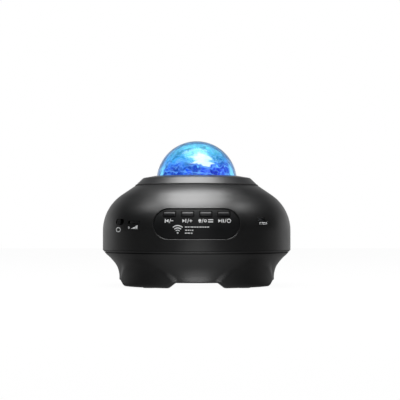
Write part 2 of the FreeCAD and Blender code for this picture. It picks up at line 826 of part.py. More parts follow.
# Ripple dome: the inner ball that turns with the ring gear
gear_top = gear_low + s.gear_height
ripple_ball = ball("ripple_ball", s.ripple_radius, dome_center)
ripple_foot = rod("ripple_foot", s.ripple_flange_radius, gear_top, gear_top + s.ripple_flange)
ripple_bore = ball("ripple_bore", s.ripple_radius - s.ripple_wall, dome_center)
ripple_under = rod("ripple_under", s.shell_radius, dome_center - s.dome_radius * 2, gear_top)
ripple_dome = node(cut("ripple_dome_solid", fuse("ripple_blank", ripple_ball, ripple_foot),
                       ripple_bore, ripple_under), "ripple_dome")


# Gears
def gear_blank(name, teeth, addendum, turn_share):
    # An involute spur gear about the origin; turn_share is its turn as a share of one pitch
    teeth = round(teeth.number)
    pitch_radius = s.gear_module.number * teeth / 2
    base_radius = pitch_radius * math.cos(math.radians(s.pressure_angle.number))
    tip_radius = pitch_radius + addendum.number
    root_radius = pitch_radius - s.tooth_root.number
    flank_low = max(base_radius, root_radius)
    half_at_pitch = math.pi / (2 * teeth) - s.tooth_backlash.number / (4 * pitch_radius)

    def involute(radius):
        angle = math.acos(min(base_radius / radius, 1))
        return math.tan(angle) - angle

    def half_angle(radius):
        return half_at_pitch + involute(pitch_radius) - involute(radius)

    def spot(radius, angle):
        return FreeCAD.Vector(radius * math.cos(angle), radius * math.sin(angle), 0)

    edges = []
    last = None
    middle_radius = (flank_low + tip_radius) / 2
    for tooth in range(teeth + 1):
        center = (tooth + turn_share) * 2 * math.pi / teeth
        heights = (flank_low, middle_radius, tip_radius)
        rising = [spot(radius, center - half_angle(radius)) for radius in heights]
        falling = [spot(radius, center + half_angle(radius)) for radius in reversed(heights)]
        root_in = spot(root_radius, center - half_angle(flank_low))
        root_out = spot(root_radius, center + half_angle(flank_low))
        if last is not None:
            edges.append(Part.LineSegment(last, root_in).toShape())
        if tooth == teeth:
            break
        if root_radius < flank_low:
            edges.append(Part.LineSegment(root_in, rising[0]).toShape())
        edges.append(Part.Arc(*rising).toShape())
        edges.append(Part.LineSegment(rising[-1], falling[0]).toShape())
        edges.append(Part.Arc(*falling).toShape())
        if root_radius < flank_low:
            edges.append(Part.LineSegment(falling[-1], root_out).toShape())
        last = root_out
    face = Part.Face(Part.Wire(Part.__sortEdges__(edges)))
    item = doc.addObject("Part::Feature", name)
    item.Shape = face.extrude(FreeCAD.Vector(0, 0, s.gear_height.number))
    return item


center_distance = s.gear_module * (s.ring_teeth + s.pinion_teeth) / 2
ring_blank = gear_blank("ring_blank", s.ring_teeth, s.ring_addendum, 0)
place(ring_blank, 0, 0, gear_low)
web_top = gear_low + s.gear_web
collar_radius = s.well_bore - s.running_gap
collar_inner = collar_radius - s.collar_wall
rim_pocket = rod("rim_pocket", s.gear_rim_inner, web_top, gear_top + s.overrun)
gear_window = rod("gear_window", collar_inner, gear_low - s.overrun, gear_top + s.overrun)
collar = ring("collar", collar_radius, collar_inner, gear_low - s.collar_depth, web_top)
hub = rod("hub", s.hub_radius, gear_low, web_top + s.star_disc_thickness)
spokes = [block(f"spoke_{index}", (0, collar_inner + s.collar_wall / 2),
                (-s.spoke_width / 2, s.spoke_width / 2), (gear_low, web_top), angle)
          for index, angle in enumerate(thirds)]
star_seat = gear_low + s.gear_web / 2
star_pocket = rod("star_pocket", s.star_disc_radius + s.seat_gap, star_seat, gear_top + s.overrun)
star_window = rod("star_window", s.star_disc_radius - s.star_ledge, gear_low - s.overrun,
                  gear_top + s.overrun)
rotor_gear = node(cut("rotor_gear_solid",
                      fuse("rotor_blank", cut("ring_body", ring_blank, rim_pocket, gear_window),
                           collar, hub, *spokes),
                      star_pocket, star_window), "rotor_gear")
star_disc = node(rod("star_disc_solid", s.star_disc_radius, star_seat, star_seat + s.star_disc_thickness),
                 "star_disc")
pinion_blank = gear_blank("pinion_blank", s.pinion_teeth, s.tooth_addendum, pinion_turn_share)
place(pinion_blank, 0, center_distance, gear_low)
motor_spot = (0, center_distance)
pinion_bore = rod("pinion_bore", s.motor_shaft_radius + s.screw_gap, gear_low - s.overrun,
                  gear_top + s.overrun, motor_spot)
drive_pinion = node(cut("drive_pinion_solid", pinion_blank, pinion_bore), "drive_pinion")

# Chassis plate under the rotor, with the gear motor hung below it
chassis_low = chassis_top - s.chassis_thickness
motor_low = chassis_low - s.motor_height
motor_bore_low = chassis_low - s.motor_shaft_depth
motor_screw_spots = [(side * s.motor_screw_reach, center_distance) for side in (-1, 1)]
motor_case = rod("motor_case", s.motor_radius, motor_low, chassis_low, motor_spot)
motor_boss = rod("motor_boss", s.motor_boss_radius, motor_low, chassis_low + s.motor_boss, motor_spot)
motor_ears = block("motor_ears", (-s.motor_ear_reach, s.motor_ear_reach),
                   (center_distance - s.motor_ear_width / 2, center_distance + s.motor_ear_width / 2),
                   (chassis_low - s.motor_ear_thickness, chassis_low))
motor_bore = rod("motor_bore", s.motor_shaft_radius + s.running_gap, motor_bore_low,
                 chassis_low + s.motor_boss + s.overrun, motor_spot)
motor_holes = [rod(f"motor_ear_hole_{index}", s.small_screw_radius + s.screw_gap,
                   chassis_low - s.motor_ear_thickness - s.overrun, chassis_top, spot)
               for index, spot in enumerate(motor_screw_spots)]
node(cut("gear_motor_solid", fuse("motor_blank", motor_case, motor_boss, motor_ears),
         motor_bore, *motor_holes), "gear_motor")
node(rod("motor_shaft_solid", s.motor_shaft_radius, motor_bore_low + s.running_gap, gear_top, motor_spot),
     "motor_shaft")
motor_screws = [screw(f"motor_screw_{index}", spot, chassis_top, s.small_screw_length, small=True)
                for index, spot in enumerate(motor_screw_spots)]
node(group("motor_screws_solids", *motor_screws), "motor_screws")

# Light well: the cup that the rotor turns in
well_top = gear_low - s.ring_gap
well_seat = chassis_top + s.well_flange
well_outer = s.well_bore + s.well_wall
well_blank = turned("well_blank", [
    (s.well_bore, chassis_top), (s.well_flange_radius, chassis_top), (s.well_flange_radius, well_seat),
    (well_outer, well_seat), (well_outer, well_top), (s.well_bore, well_top),
])
well_screw_spots = [on_circle(s.well_screw_circle, angle) for angle in well_screw_angles]
well_holes = [rod(f"well_hole_{index}", s.small_screw_radius + s.screw_gap, chassis_low - s.overrun,
                  well_seat + s.overrun, spot) for index, spot in enumerate(well_screw_spots)]
light_well = node(cut("light_well_solid", well_blank, *well_holes), "light_well")
well_screws = [screw(f"well_screw_{index}", spot, well_seat, s.small_screw_length, small=True)
               for index, spot in enumerate(well_screw_spots)]
node(group("well_screws_solids", *well_screws), "well_screws")

chassis_spots = [on_circle(s.chassis_post_circle, angle) for angle in diagonals]
chassis_holes = [rod(f"chassis_hole_{index}", s.screw_radius + s.slot_gap, chassis_low - s.overrun,
                     chassis_top + s.overrun, spot) for index, spot in enumerate(chassis_spots)]
chassis_holes.append(rod("chassis_bore", s.chassis_hole_radius, chassis_low - s.overrun,
                         chassis_top + s.overrun))
chassis_holes.append(rod("chassis_motor_hole", s.motor_boss_radius + s.slot_gap, chassis_low - s.overrun,
                         chassis_top + s.overrun, motor_spot))
chassis_holes += [rod(f"chassis_ear_hole_{index}", s.small_screw_radius + s.screw_gap,
                      chassis_low - s.overrun, chassis_top + s.overrun, spot)
                  for index, spot in enumerate(motor_screw_spots)]
chassis_disc = rod("chassis_disc", s.chassis_radius, chassis_low, chassis_top)
node(cut("chassis_plate_solid", chassis_disc, *chassis_holes, *well_holes), "chassis_plate")
chassis_screws = [screw(f"chassis_screw_{index}", spot, chassis_low, s.screw_length, up=True)
                  for index, spot in enumerate(chassis_spots)]
node(group("chassis_screws_solids", *chassis_screws), "chassis_screws")

# Heat sink with fins through the chassis, the laser in its bore and the lamp board on top
sink_top = chassis_top + s.sink_thickness
fin_low = chassis_top - s.fin_depth
fin_half = s.fin_thickness / 2
fins = [block(f"fin_{step}", (step * s.fin_pitch - fin_half, step * s.fin_pitch + fin_half),
              (-s.sink_radius, s.sink_radius), (fin_low, chassis_top)) for step in range(-3, 4)]
fin_zone = rod("fin_zone", s.chassis_hole_radius - s.ring_gap, fin_low, chassis_top)
sink_disc = rod("sink_disc", s.sink_radius, chassis_top, sink_top)
sink_boss = rod("sink_boss", s.sink_boss_radius, fin_low, sink_top)
sink_bore = rod("sink_bore", s.laser_radius + s.seat_gap, fin_low - s.overrun, sink_top + s.overrun)
node(cut("heat_sink_solid",
         fuse("sink_blank", sink_disc, sink_boss, common("fin_set", fin_zone, fuse("fin_blocks", *fins))),
         sink_bore), "heat_sink")
laser_case = rod("laser_case", s.laser_radius, laser_low, laser_high)
lens_seat = laser_high - s.laser_lens_thickness
lens_pocket = rod("lens_pocket", s.laser_lens_radius + s.screw_gap, lens_seat, laser_high + s.overrun)
laser_bore = rod("laser_bore", s.laser_radius / 2, fin_low, laser_high)
node(cut("laser_module_solid", laser_case, lens_pocket, laser_bore), "laser_module")
node(rod("laser_lens_solid", s.laser_lens_radius, lens_seat, laser_high), "laser_lens")
lamp_top = sink_top + s.board_thickness
node(ring("lamp_board_solid", s.lamp_board_radius, s.laser_radius + s.seat_gap, sink_top, lamp_top),
     "lamp_board")
lamp_half = s.lamp_width / 2
lamps = [block(f"lamp_{index}", (s.lamp_circle - lamp_half, s.lamp_circle + lamp_half),
               (-lamp_half, lamp_half), (lamp_top, lamp_top + s.lamp_height), angle)
         for index, angle in enumerate(lamp_angles)]
node(group("lamps_solids", *lamps), "lamps")

# Control panel: a plate that follows the shell, with a flange behind the wall and two board bosses
front_of_switches = -(button_back - s.plunger_reach)
board_front = front_of_switches + s.switch_depth
board_back = board_front + s.board_thickness
panel_back_depth = s.panel_sunk + s.panel_thickness
flange_back_depth = panel_back_depth + s.panel_flange
front_zone = (-s.shell_radius, board_front)
panel_front_solid = shell_solid("panel_front_solid", s.panel_sunk, s.seam_height)
panel_back_solid = shell_solid("panel_back_solid", panel_back_depth, s.seam_height)
flange_back_solid = shell_solid("flange_back_solid", flange_back_depth, s.seam_height)
plate_outline = stadium("plate_outline", s.panel_half_length - s.slot_gap, s.panel_half_height - s.slot_gap,
                        panel_center, front_zone)
flange_outline = stadium("flange_outline", s.panel_half_length + s.panel_flange_reach,
                         s.panel_half_height + s.panel_flange_reach, panel_center, front_zone)
panel_plate = common("panel_plate", cut("plate_skin", panel_front_solid, panel_back_solid), plate_outline)
panel_flange = common("panel_flange", cut("flange_skin", panel_back_solid, flange_back_solid), flange_outline)
panel_boss_spots = [(side * s.panel_boss_reach, panel_center) for side in (-1, 1)]
panel_bosses = [common(f"panel_boss_{index}", panel_back_solid,
                       rod(f"panel_boss_rod_{index}", s.panel_boss_radius, *front_zone, spot, along="y"))
                for index, spot in enumerate(panel_boss_spots)]
panel_screw_tip = board_back - s.small_screw_length
panel_pilots = [rod(f"panel_pilot_{index}", s.small_screw_radius + s.screw_gap, panel_screw_tip - s.slot_gap,
                    board_back + s.overrun, spot, along="y")
                for index, spot in enumerate(panel_boss_spots)]
button_places = [s.button_pitch * share for share in button_shares]
button_rows = (button_center - s.button_half_height, button_center + s.button_half_height)
button_holes = [block(f"button_hole_{index}",
                      (x - s.button_half_width - s.slot_gap, x + s.button_half_width + s.slot_gap),
                      front_zone, (button_rows[0] - s.slot_gap, button_rows[1] + s.slot_gap))
                for index, x in enumerate(button_places)]
control_panel = node(cut("control_panel_solid", fuse("panel_blank", panel_plate, panel_flange, *panel_bosses),
                         *button_holes, *panel_pilots), "control_panel")


# Buttons: each cap follows the shell too, and its skirt behind the panel keeps it in
def key_prism(name, x, spread):
    # A prism along y with rounded long edges, larger than the key by spread
    width, height = s.button_half_width + spread, s.button_half_height + spread
    center = button_center
    body, sketch = outline(name, "XZ_Plane", [(x - width, center - height), (x + width, center - height),
                                              (x + width, center + height), (x - width, center + height)])
    pad = body.newObject("PartDesign::Pad", name + "_pad")
    pad.Profile = sketch
    bind(pad, "Length", s.shell_radius)
    doc.recompute()
    long_edges = [f"Edge{index}" for index, edge in enumerate(pad.Shape.Edges, start=1)
                  if edge.BoundBox.YLength > pad.Shape.BoundBox.YLength / 2]
    fillet = body.newObject("PartDesign::Fillet", name + "_round")
    fillet.Base = (pad, long_edges)
    bind(fillet, "Radius", s.button_round)
    doc.recompute()
    return body


button_zone = block("button_zone", (-s.shell_radius, s.shell_radius), (-s.shell_radius, -button_back),
                    (s.seam_height, s.deck_height))
button_face_solid = shell_solid("button_face_solid", s.panel_sunk - s.button_proud, s.seam_height)
skirt_solid = shell_solid("skirt_solid", flange_back_depth + s.seat_gap, s.seam_height)
tact_bodies = []
for index, (x, label) in enumerate(zip(button_places, button_names)):
    cap = common(f"{label}_cap", key_prism(f"{label}_key", x, 0), button_face_solid, button_zone)
    skirt = common(f"{label}_skirt", key_prism(f"{label}_skirt_key", x, s.button_skirt), skirt_solid,
                   button_zone)
    node(fuse(f"{label}_solid", cap, skirt), label)
    spot = (x, button_center)
    plunger_tip = front_of_switches + s.plunger_depth
    node(rod(f"{label}_plunger_solid", s.plunger_radius, -button_back, plunger_tip, spot, along="y"),
         label.replace("button", "plunger"))
    tact_block = block(f"tact_block_{index}", (x - s.switch_half_width, x + s.switch_half_width),
                       (front_of_switches, board_front),
                       (button_center - s.switch_half_width,
                        button_center + s.switch_half_width))
    tact_bore = rod(f"tact_bore_{index}", s.plunger_radius + s.seat_gap, front_of_switches - s.overrun,
                    plunger_tip + s.button_travel + s.seat_gap, spot, along="y")
    tact_bodies.append(cut(f"tact_body_{index}", tact_block, tact_bore))
node(group("tact_switches_solids", *tact_bodies), "tact_switches")
button_board = block("button_board_blank", (-s.button_board_half, s.button_board_half),
                     (board_front, board_back),
                     (panel_center - s.button_board_below, panel_center + s.button_board_above))
node(cut("button_board_solid", button_board, *panel_pilots), "button_board")
panel_screws = []
for index, spot in enumerate(panel_boss_spots):
    head_end = board_back + s.small_screw_head
    shaft = rod(f"panel_screw_shaft_{index}", s.small_screw_radius, panel_screw_tip, board_back, spot,
                along="y")
    head = rod(f"panel_screw_head_{index}", s.small_screw_head_radius, board_back, head_end, spot, along="y")
    half = s.recess_width / 2
    slot = block(f"panel_screw_slot_{index}", (spot[0] - half, spot[0] + half),
                 (head_end - s.small_screw_head / 2, head_end + s.overrun),
                 (spot[1] - s.small_screw_radius, spot[1] + s.small_screw_radius))
    panel_screws.append(cut(f"panel_screw_{index}", fuse(f"panel_screw_blank_{index}", shaft, head), slot))
node(group("panel_screws_solids", *panel_screws), "panel_screws")


# Power slide switch, made facing the front and then turned to its place on the wall
knob_rest = -s.knob_travel / 2
slide_rows = (slide_height - s.knob_half_height, slide_height + s.knob_half_height)
slider_back = slider_front - s.slider_thickness
knob_face_solid = shell_solid("knob_face_solid", s.knob_sunk, s.seam_height)
knob_prism = block("knob_prism", (knob_rest - s.knob_half, knob_rest + s.knob_half),
                   (-s.shell_radius, -slider_back), slide_rows)
slider = block("slider_plate", (knob_rest - s.slider_half, knob_rest + s.slider_half),
               (-slider_front, -slider_back),
               (slide_height - s.slider_half_height, slide_height + s.slider_half_height))
lever = block("slider_lever", (knob_rest - s.lever_half, knob_rest + s.lever_half),
              (-slider_front, -slider_back + s.lever_depth),
              (slide_height - s.lever_half, slide_height + s.lever_half))
knob_groove_floor = -(wall_at(slide_height, s.knob_sunk) - s.knob_groove)
knob_grooves = []
for step in (-1, 0, 1):
    middle = knob_rest + s.knob_groove * 3 * step
    knob_grooves.append(block(f"knob_groove_{step + 1}",
                              (middle - s.knob_groove / 2, middle + s.knob_groove / 2),
                              (-s.shell_radius, knob_groove_floor), slide_rows))
knob = cut("knob_solid", fuse("knob_blank", common("knob_cap", knob_prism, knob_face_solid), slider, lever),
           *knob_grooves)
node(swing(knob, s.slide_angle), "power_slide_knob")
slide_body = block("slide_body", (-s.slide_body_half, s.slide_body_half),
                   (-slide_body_front, -slide_body_front + s.slide_body_depth),
                   (side_board_top, slide_body_top))
lever_reach = s.knob_travel / 2 + s.lever_half + s.slot_gap
lever_slot = block("lever_slot", (-lever_reach, lever_reach),
                   (-slide_body_front - s.overrun, -slider_back + s.lever_depth + s.slot_gap),
                   (slide_height - s.lever_half - s.slot_gap, slide_height + s.lever_half + s.slot_gap))
node(swing(cut("power_switch_body_solid", slide_body, lever_slot), s.slide_angle), "power_switch_body")

# Volume wheel on its potentiometer
wheel_low = wheel_height - s.wheel_thickness / 2
wheel_spot = (0, -wheel_circle)
pot_top = side_board_top + s.pot_height
shaft_low = pot_top - s.wheel_shaft_depth
wheel_disc = rod("wheel_disc", s.wheel_radius, wheel_low, wheel_low + s.wheel_thickness, wheel_spot,
                 s.wheel_angle)
wheel_shaft = rod("wheel_shaft", s.wheel_shaft_radius, shaft_low, wheel_height, wheel_spot, s.wheel_angle)
notches = []
for index in range(round(s.notch_count.number)):
    x, y = on_circle(s.wheel_radius, 360 * index / s.notch_count)
    notches.append(rod(f"wheel_notch_{index}", s.notch_radius, wheel_low - s.overrun,
                       wheel_low + s.wheel_thickness + s.overrun, (x, y - wheel_circle), s.wheel_angle))
node(cut("volume_wheel_solid", fuse("wheel_blank", wheel_disc, wheel_shaft), *notches), "volume_wheel")
pot_case = rod("pot_case", s.pot_radius, side_board_top, pot_top, wheel_spot, s.wheel_angle)
pot_bore = rod("pot_bore", s.wheel_shaft_radius + s.running_gap, shaft_low - s.seat_gap, pot_top + s.overrun,
               wheel_spot, s.wheel_angle)
node(cut("volume_pot_body_solid", pot_case, pot_bore), "volume_pot_body")

# Boards on the two shelves, and their screws
shelf_screws = [screw(f"shelf_screw_{index}", spot, seat, s.small_screw_length, small=True, around=angle)
                for index, (spot, angle, seat) in enumerate(shelf_screw_spots)]
node(group("shelf_screws_solids", *shelf_screws), "shelf_screws")
shelf_holes = [rod(f"shelf_hole_{index}", s.small_screw_radius + s.screw_gap,
                   seat - s.board_thickness - s.overrun, seat + s.overrun, spot, angle)
               for index, (spot, angle, seat) in enumerate(shelf_screw_spots)]
side_board = block("side_board_blank", (-s.side_board_half, s.side_board_half),
                   (-side_board_front, -side_board_back), (side_shelf_top, side_board_top),
                   s.side_board_angle)
node(cut("side_board_solid", side_board, *shelf_holes[:2]), "side_board")
port_board = block("port_board_blank", (-s.port_board_half, s.port_board_half),
                   (-port_board_front, -port_board_back), (port_shelf_top, port_board_top),
                   s.port_angle)
node(cut("port_board_solid", port_board, *shelf_holes[2:]), "port_board")

# Power inlet
socket_front = -(wall_at(port_height, s.socket_sunk))
socket_back = socket_front + s.socket_depth
socket_rows = (port_height - s.socket_half_height, port_height + s.socket_half_height)
socket_shell = block("socket_shell", (-s.socket_half, s.socket_half), (socket_front, socket_back),
                     socket_rows)
socket_mouth = block("socket_mouth", (-s.socket_half + s.socket_wall, s.socket_half - s.socket_wall),
                     (socket_front - s.overrun, socket_back - s.socket_wall),
                     (socket_rows[0] + s.socket_wall, socket_rows[1] - s.socket_wall))
socket_tongue = block("socket_tongue", (-s.socket_half / 2, s.socket_half / 2),
                      (socket_front + s.socket_wall, socket_back),
                      (port_height - s.socket_tongue / 2, port_height + s.socket_tongue / 2))
socket = fuse("socket_solid", cut("socket_tube", socket_shell, socket_mouth), socket_tongue)
node(swing(socket, s.port_angle), "power_inlet")

# Speaker, facing the grille in the floor
node(ring("speaker_gasket_solid", s.gasket_outer_radius, s.gasket_inner_radius, floor_top, speaker_seat),
     "speaker_gasket")
flange_high = speaker_seat + s.speaker_flange
neck_low = s.basket_top - s.basket_wall
basket = turned("basket", [
    (s.basket_opening, speaker_seat), (s.speaker_radius, speaker_seat), (s.speaker_radius, flange_high),
    (s.basket_lip_radius + s.basket_wall, flange_high), (s.basket_neck_radius + s.basket_wall, neck_low),
    (s.basket_neck_radius + s.basket_wall, s.basket_top), (s.magnet_bore, s.basket_top),
    (s.magnet_bore, neck_low), (s.basket_neck_radius, neck_low), (s.basket_lip_radius, flange_high),
    (s.basket_opening, flange_high),
])
speaker_holes = [rod(f"speaker_hole_{index}", s.small_screw_radius + s.screw_gap, speaker_seat - s.overrun,
                     flange_high + s.overrun, spot) for index, spot in enumerate(speaker_screw_spots)]
node(cut("speaker_frame_solid", basket, *speaker_holes), "speaker_frame")
speaker_screws = [screw(f"speaker_screw_{index}", spot, flange_high, s.small_screw_length, small=True)
                  for index, spot in enumerate(speaker_screw_spots)]
node(group("speaker_screws_solids", *speaker_screws), "speaker_screws")
plate_low = s.basket_top + s.magnet_height
magnet_top = plate_low + s.magnet_plate
node(turned("speaker_magnet_solid", [
    (0, neck_low), (s.pole_radius, neck_low), (s.pole_radius, plate_low), (s.magnet_bore, plate_low),
    (s.magnet_bore, s.basket_top), (s.magnet_radius, s.basket_top), (s.magnet_radius, magnet_top),
    (0, magnet_top),
]), "speaker_magnet")
cone_neck = s.cone_low + s.cone_rise - s.cone_wall
cap_low = cone_neck - s.dust_cap_drop
node(turned("speaker_cone_solid", [
    (0, cap_low), (s.dust_cap_radius, (cap_low + cone_neck) / 2), (s.coil_radius, cone_neck),
    (s.cone_radius, s.cone_low), (s.cone_radius, s.cone_low + s.cone_wall),
    (s.coil_radius, cone_neck + s.cone_wall),
    (s.dust_cap_radius, (cap_low + cone_neck) / 2 + s.cone_wall), (0, cap_low + s.cone_wall),
]), "speaker_cone")
node(ring("speaker_coil_solid", s.coil_radius, s.coil_radius - s.coil_wall, cone_neck + s.cone_wall,
          s.coil_high), "speaker_coil")
roll_inner = s.cone_radius + s.screw_gap
roll_middle = (roll_inner + s.surround_outer_radius) / 2
roll_foot = s.surround_outer_radius + s.surround_wall
roll_edge = s.basket_lip_radius - s.surround_wall
node(turned("speaker_surround_solid", [
    (roll_inner, s.cone_low), (roll_middle, s.cone_low + s.surround_drop),
    (s.surround_outer_radius, flange_high), (roll_edge, flange_high),
    (roll_edge, flange_high + s.surround_wall), (roll_foot, flange_high + s.surround_wall),
    (roll_middle, s.cone_low + s.surround_drop + s.surround_wall), (roll_inner, s.cone_low + s.surround_wall),
]), "speaker_surround")

# Main board on its standoffs
board_top = s.main_board_low + s.board_thickness
board_holes = [rod(f"board_hole_{index}", s.small_screw_radius + s.screw_gap, s.main_board_low - s.overrun,
                   board_top + s.overrun, spot) for index, spot in enumerate(standoff_spots)]
main_board = block("main_board_blank", (-s.main_board_half_length, s.main_board_half_length),
                   (-s.main_board_half_width, s.main_board_half_width), (s.main_board_low, board_top))
node(cut("main_board_solid", main_board, *board_holes), "main_board")
board_screws = [screw(f"board_screw_{index}", spot, board_top, s.small_screw_length, small=True)
                for index, spot in enumerate(standoff_spots)]
node(group("board_screws_solids", *board_screws), "board_screws")
chips = [block(f"chip_{index}", (place_of_chip - s.chip_half, place_of_chip + s.chip_half),
               (-s.chip_half, s.chip_half), (board_top, board_top + s.chip_height))
         for index, place_of_chip in enumerate((-s.shield_place, 0))]
node(group("control_chips_solids", *chips), "control_chips")
node(block("radio_module_solid",
           (s.shield_place - s.shield_half_length, s.shield_place + s.shield_half_length),
           (-s.shield_half_width, s.shield_half_width), (board_top, board_top + s.shield_height)),
     "radio_module")
cans = [rod(f"can_{index}", s.can_radius, board_top, board_top + s.can_height,
            (side * s.can_pitch / 2, s.can_place)) for index, side in enumerate((-1, 1))]
node(group("capacitors_solids", *cans), "capacitors")


# Every object has to be sound before anything is written
doc.recompute()
faults = [item.Name for item in doc.Objects if "Invalid" in item.State or "Error" in item.State]
for item in nodes:
    if item.Shape.isNull() or not item.Shape.isValid() or not item.Shape.Solids:
        faults.append(item.Label)
if faults:
    raise RuntimeError("faulty objects: " + ", ".join(faults))
os.makedirs("parts", exist_ok=True)
for item in nodes:
    item.Shape.exportStep(f"parts/{item.Label}.step")
    print(f"{item.Label}: {len(item.Shape.Solids)} solids, {item.Shape.Volume:.0f} cubic mm")
print(len(nodes), "nodes")
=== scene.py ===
import math
import bpy
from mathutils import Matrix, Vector


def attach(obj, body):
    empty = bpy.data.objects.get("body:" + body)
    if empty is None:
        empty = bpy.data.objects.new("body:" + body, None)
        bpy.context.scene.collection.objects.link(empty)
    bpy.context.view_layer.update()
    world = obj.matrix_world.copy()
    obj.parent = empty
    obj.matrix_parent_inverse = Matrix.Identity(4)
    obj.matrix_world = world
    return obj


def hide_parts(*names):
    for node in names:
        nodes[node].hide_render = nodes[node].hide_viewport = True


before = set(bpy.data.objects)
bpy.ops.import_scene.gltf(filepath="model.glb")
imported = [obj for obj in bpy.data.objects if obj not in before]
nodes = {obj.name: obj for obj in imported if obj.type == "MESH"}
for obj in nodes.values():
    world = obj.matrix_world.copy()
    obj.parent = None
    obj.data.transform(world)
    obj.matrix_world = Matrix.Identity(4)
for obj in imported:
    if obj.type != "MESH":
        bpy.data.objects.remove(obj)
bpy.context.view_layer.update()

mm = 0.001

# Where the finished body's skin is, for whatever has to lie on it (millimetres and degrees)
skin = {"radius": 84.0, "shoulder": 38.5, "cone": 34.0, "deckRadius": 54.68, "deck": 89.65}


def skinRadius(height):
    # straight wall, then the big round shoulder, then the cone up to the deck
    lean = math.tan(math.radians(skin["cone"]))
    corner = skin["deck"] - (skin["radius"] - skin["deckRadius"]) * lean
    center = corner - skin["shoulder"] * math.tan(math.radians((90 - skin["cone"]) / 2))
    if height <= center:
        return skin["radius"]
    rise = height - center
    if rise < skin["shoulder"] * math.cos(math.radians(skin["cone"])):
        return skin["radius"] - skin["shoulder"] + math.sqrt(skin["shoulder"] ** 2 - rise ** 2)
    return skin["deckRadius"] + (skin["deck"] - height) / lean


def skinDepth(across, height, depth):
    # y of the skin at this place on the front, this deep under it, in metres
    radius = skinRadius(height / mm) - depth
    return -math.sqrt(max((radius * mm) ** 2 - across ** 2, 0))


# Tools used all over
def pickNothing():
    if bpy.context.object and bpy.context.object.mode != "OBJECT":
        bpy.ops.object.mode_set(mode="OBJECT")
    bpy.ops.object.select_all(action="DESELECT")


def newest(name):
    piece = bpy.context.object
    piece.name = name
    piece.data.name = name
    return piece


def grab(piece):
    pickNothing()
    piece.select_set(True)
    bpy.context.view_layer.objects.active = piece


def editStart(piece, kind, pick):
    # opens the piece in edit mode with only the wanted faces, edges or vertices selected
    grab(piece)
    bpy.ops.object.mode_set(mode="EDIT")
    bpy.ops.mesh.select_mode(type=kind)
    bpy.ops.mesh.select_all(action="DESELECT")
    bpy.ops.object.mode_set(mode="OBJECT")
    mesh = piece.data
    if kind == "FACE":
        for face in mesh.polygons:
            face.select = bool(pick(face.center, face.normal))
    elif kind == "EDGE":
        for edge in mesh.edges:
            a, b = (mesh.vertices[i].co for i in edge.vertices)
            edge.select = bool(pick((a + b) / 2, (b - a).normalized()))
    else:
        for vertex in mesh.vertices:
            vertex.select = bool(pick(vertex.co, vertex.normal))
    bpy.ops.object.mode_set(mode="EDIT")


def everything(center, normal):
    # picks all that there is
    return True


def editEnd():
    bpy.ops.object.mode_set(mode="OBJECT")


def applyPlace(piece):
    grab(piece)
    bpy.ops.object.transform_apply(location=True, rotation=True, scale=True)


def modify(piece, kind, **settings):
    # adds a modifier and applies it at once
    grab(piece)
    modifier = piece.modifiers.new(kind.lower(), kind)
    for key, value in settings.items():
        setattr(modifier, key, value)
    bpy.ops.object.modifier_apply(modifier=modifier.name)


def smooth(piece, angle):
    grab(piece)
    bpy.ops.object.shade_smooth_by_angle(angle=math.radians(angle))


def join(name, parts):
    pickNothing()
    for part in parts:
        part.select_set(True)
    bpy.context.view_layer.objects.active = parts[0]
    if len(parts) > 1:
        bpy.ops.object.join()
    return newest(name)


def finishPiece(piece, body, material, slot, *replaced):
    applyPlace(piece)
    piece.data.materials.clear()
    piece.data.materials.append(material)
    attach(piece, body)
    if replaced:
        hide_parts(*replaced)


# Materials
def linear(code):
    # sRGB hex to the linear colour that the shader wants
    parts = [int(code[i:i + 2], 16) / 255 for i in (1, 3, 5)]
    return tuple(c / 12.92 if c <= 0.04045 else ((c + 0.055) / 1.055) ** 2.4 for c in parts) + (1.0,)


def addNode(tree, kind, links=(), **settings):
    # one node: settings that name an input go to its socket, the rest to the node itself
    item = tree.nodes.new("ShaderNode" + kind)
    for key, value in settings.items():
        if hasattr(item, key):
            setattr(item, key, value)
    for key, value in settings.items():
        if not hasattr(item, key):
            item.inputs[int(key[1:]) if key[1:].isdigit() else key].default_value = value
    for source, target in links:
        tree.links.new(source, item.inputs[target])
    return item


def startMaterial(name):
    # an empty material, its tree, and the object coordinates that every pattern reads
    material = bpy.data.materials.new(name)
    material.use_nodes = True
    tree = material.node_tree
    tree.nodes.clear()
    return material, tree, addNode(tree, "TexCoord").outputs["Object"]


grainStrength = 0.35  # how strongly a moulded grain shows


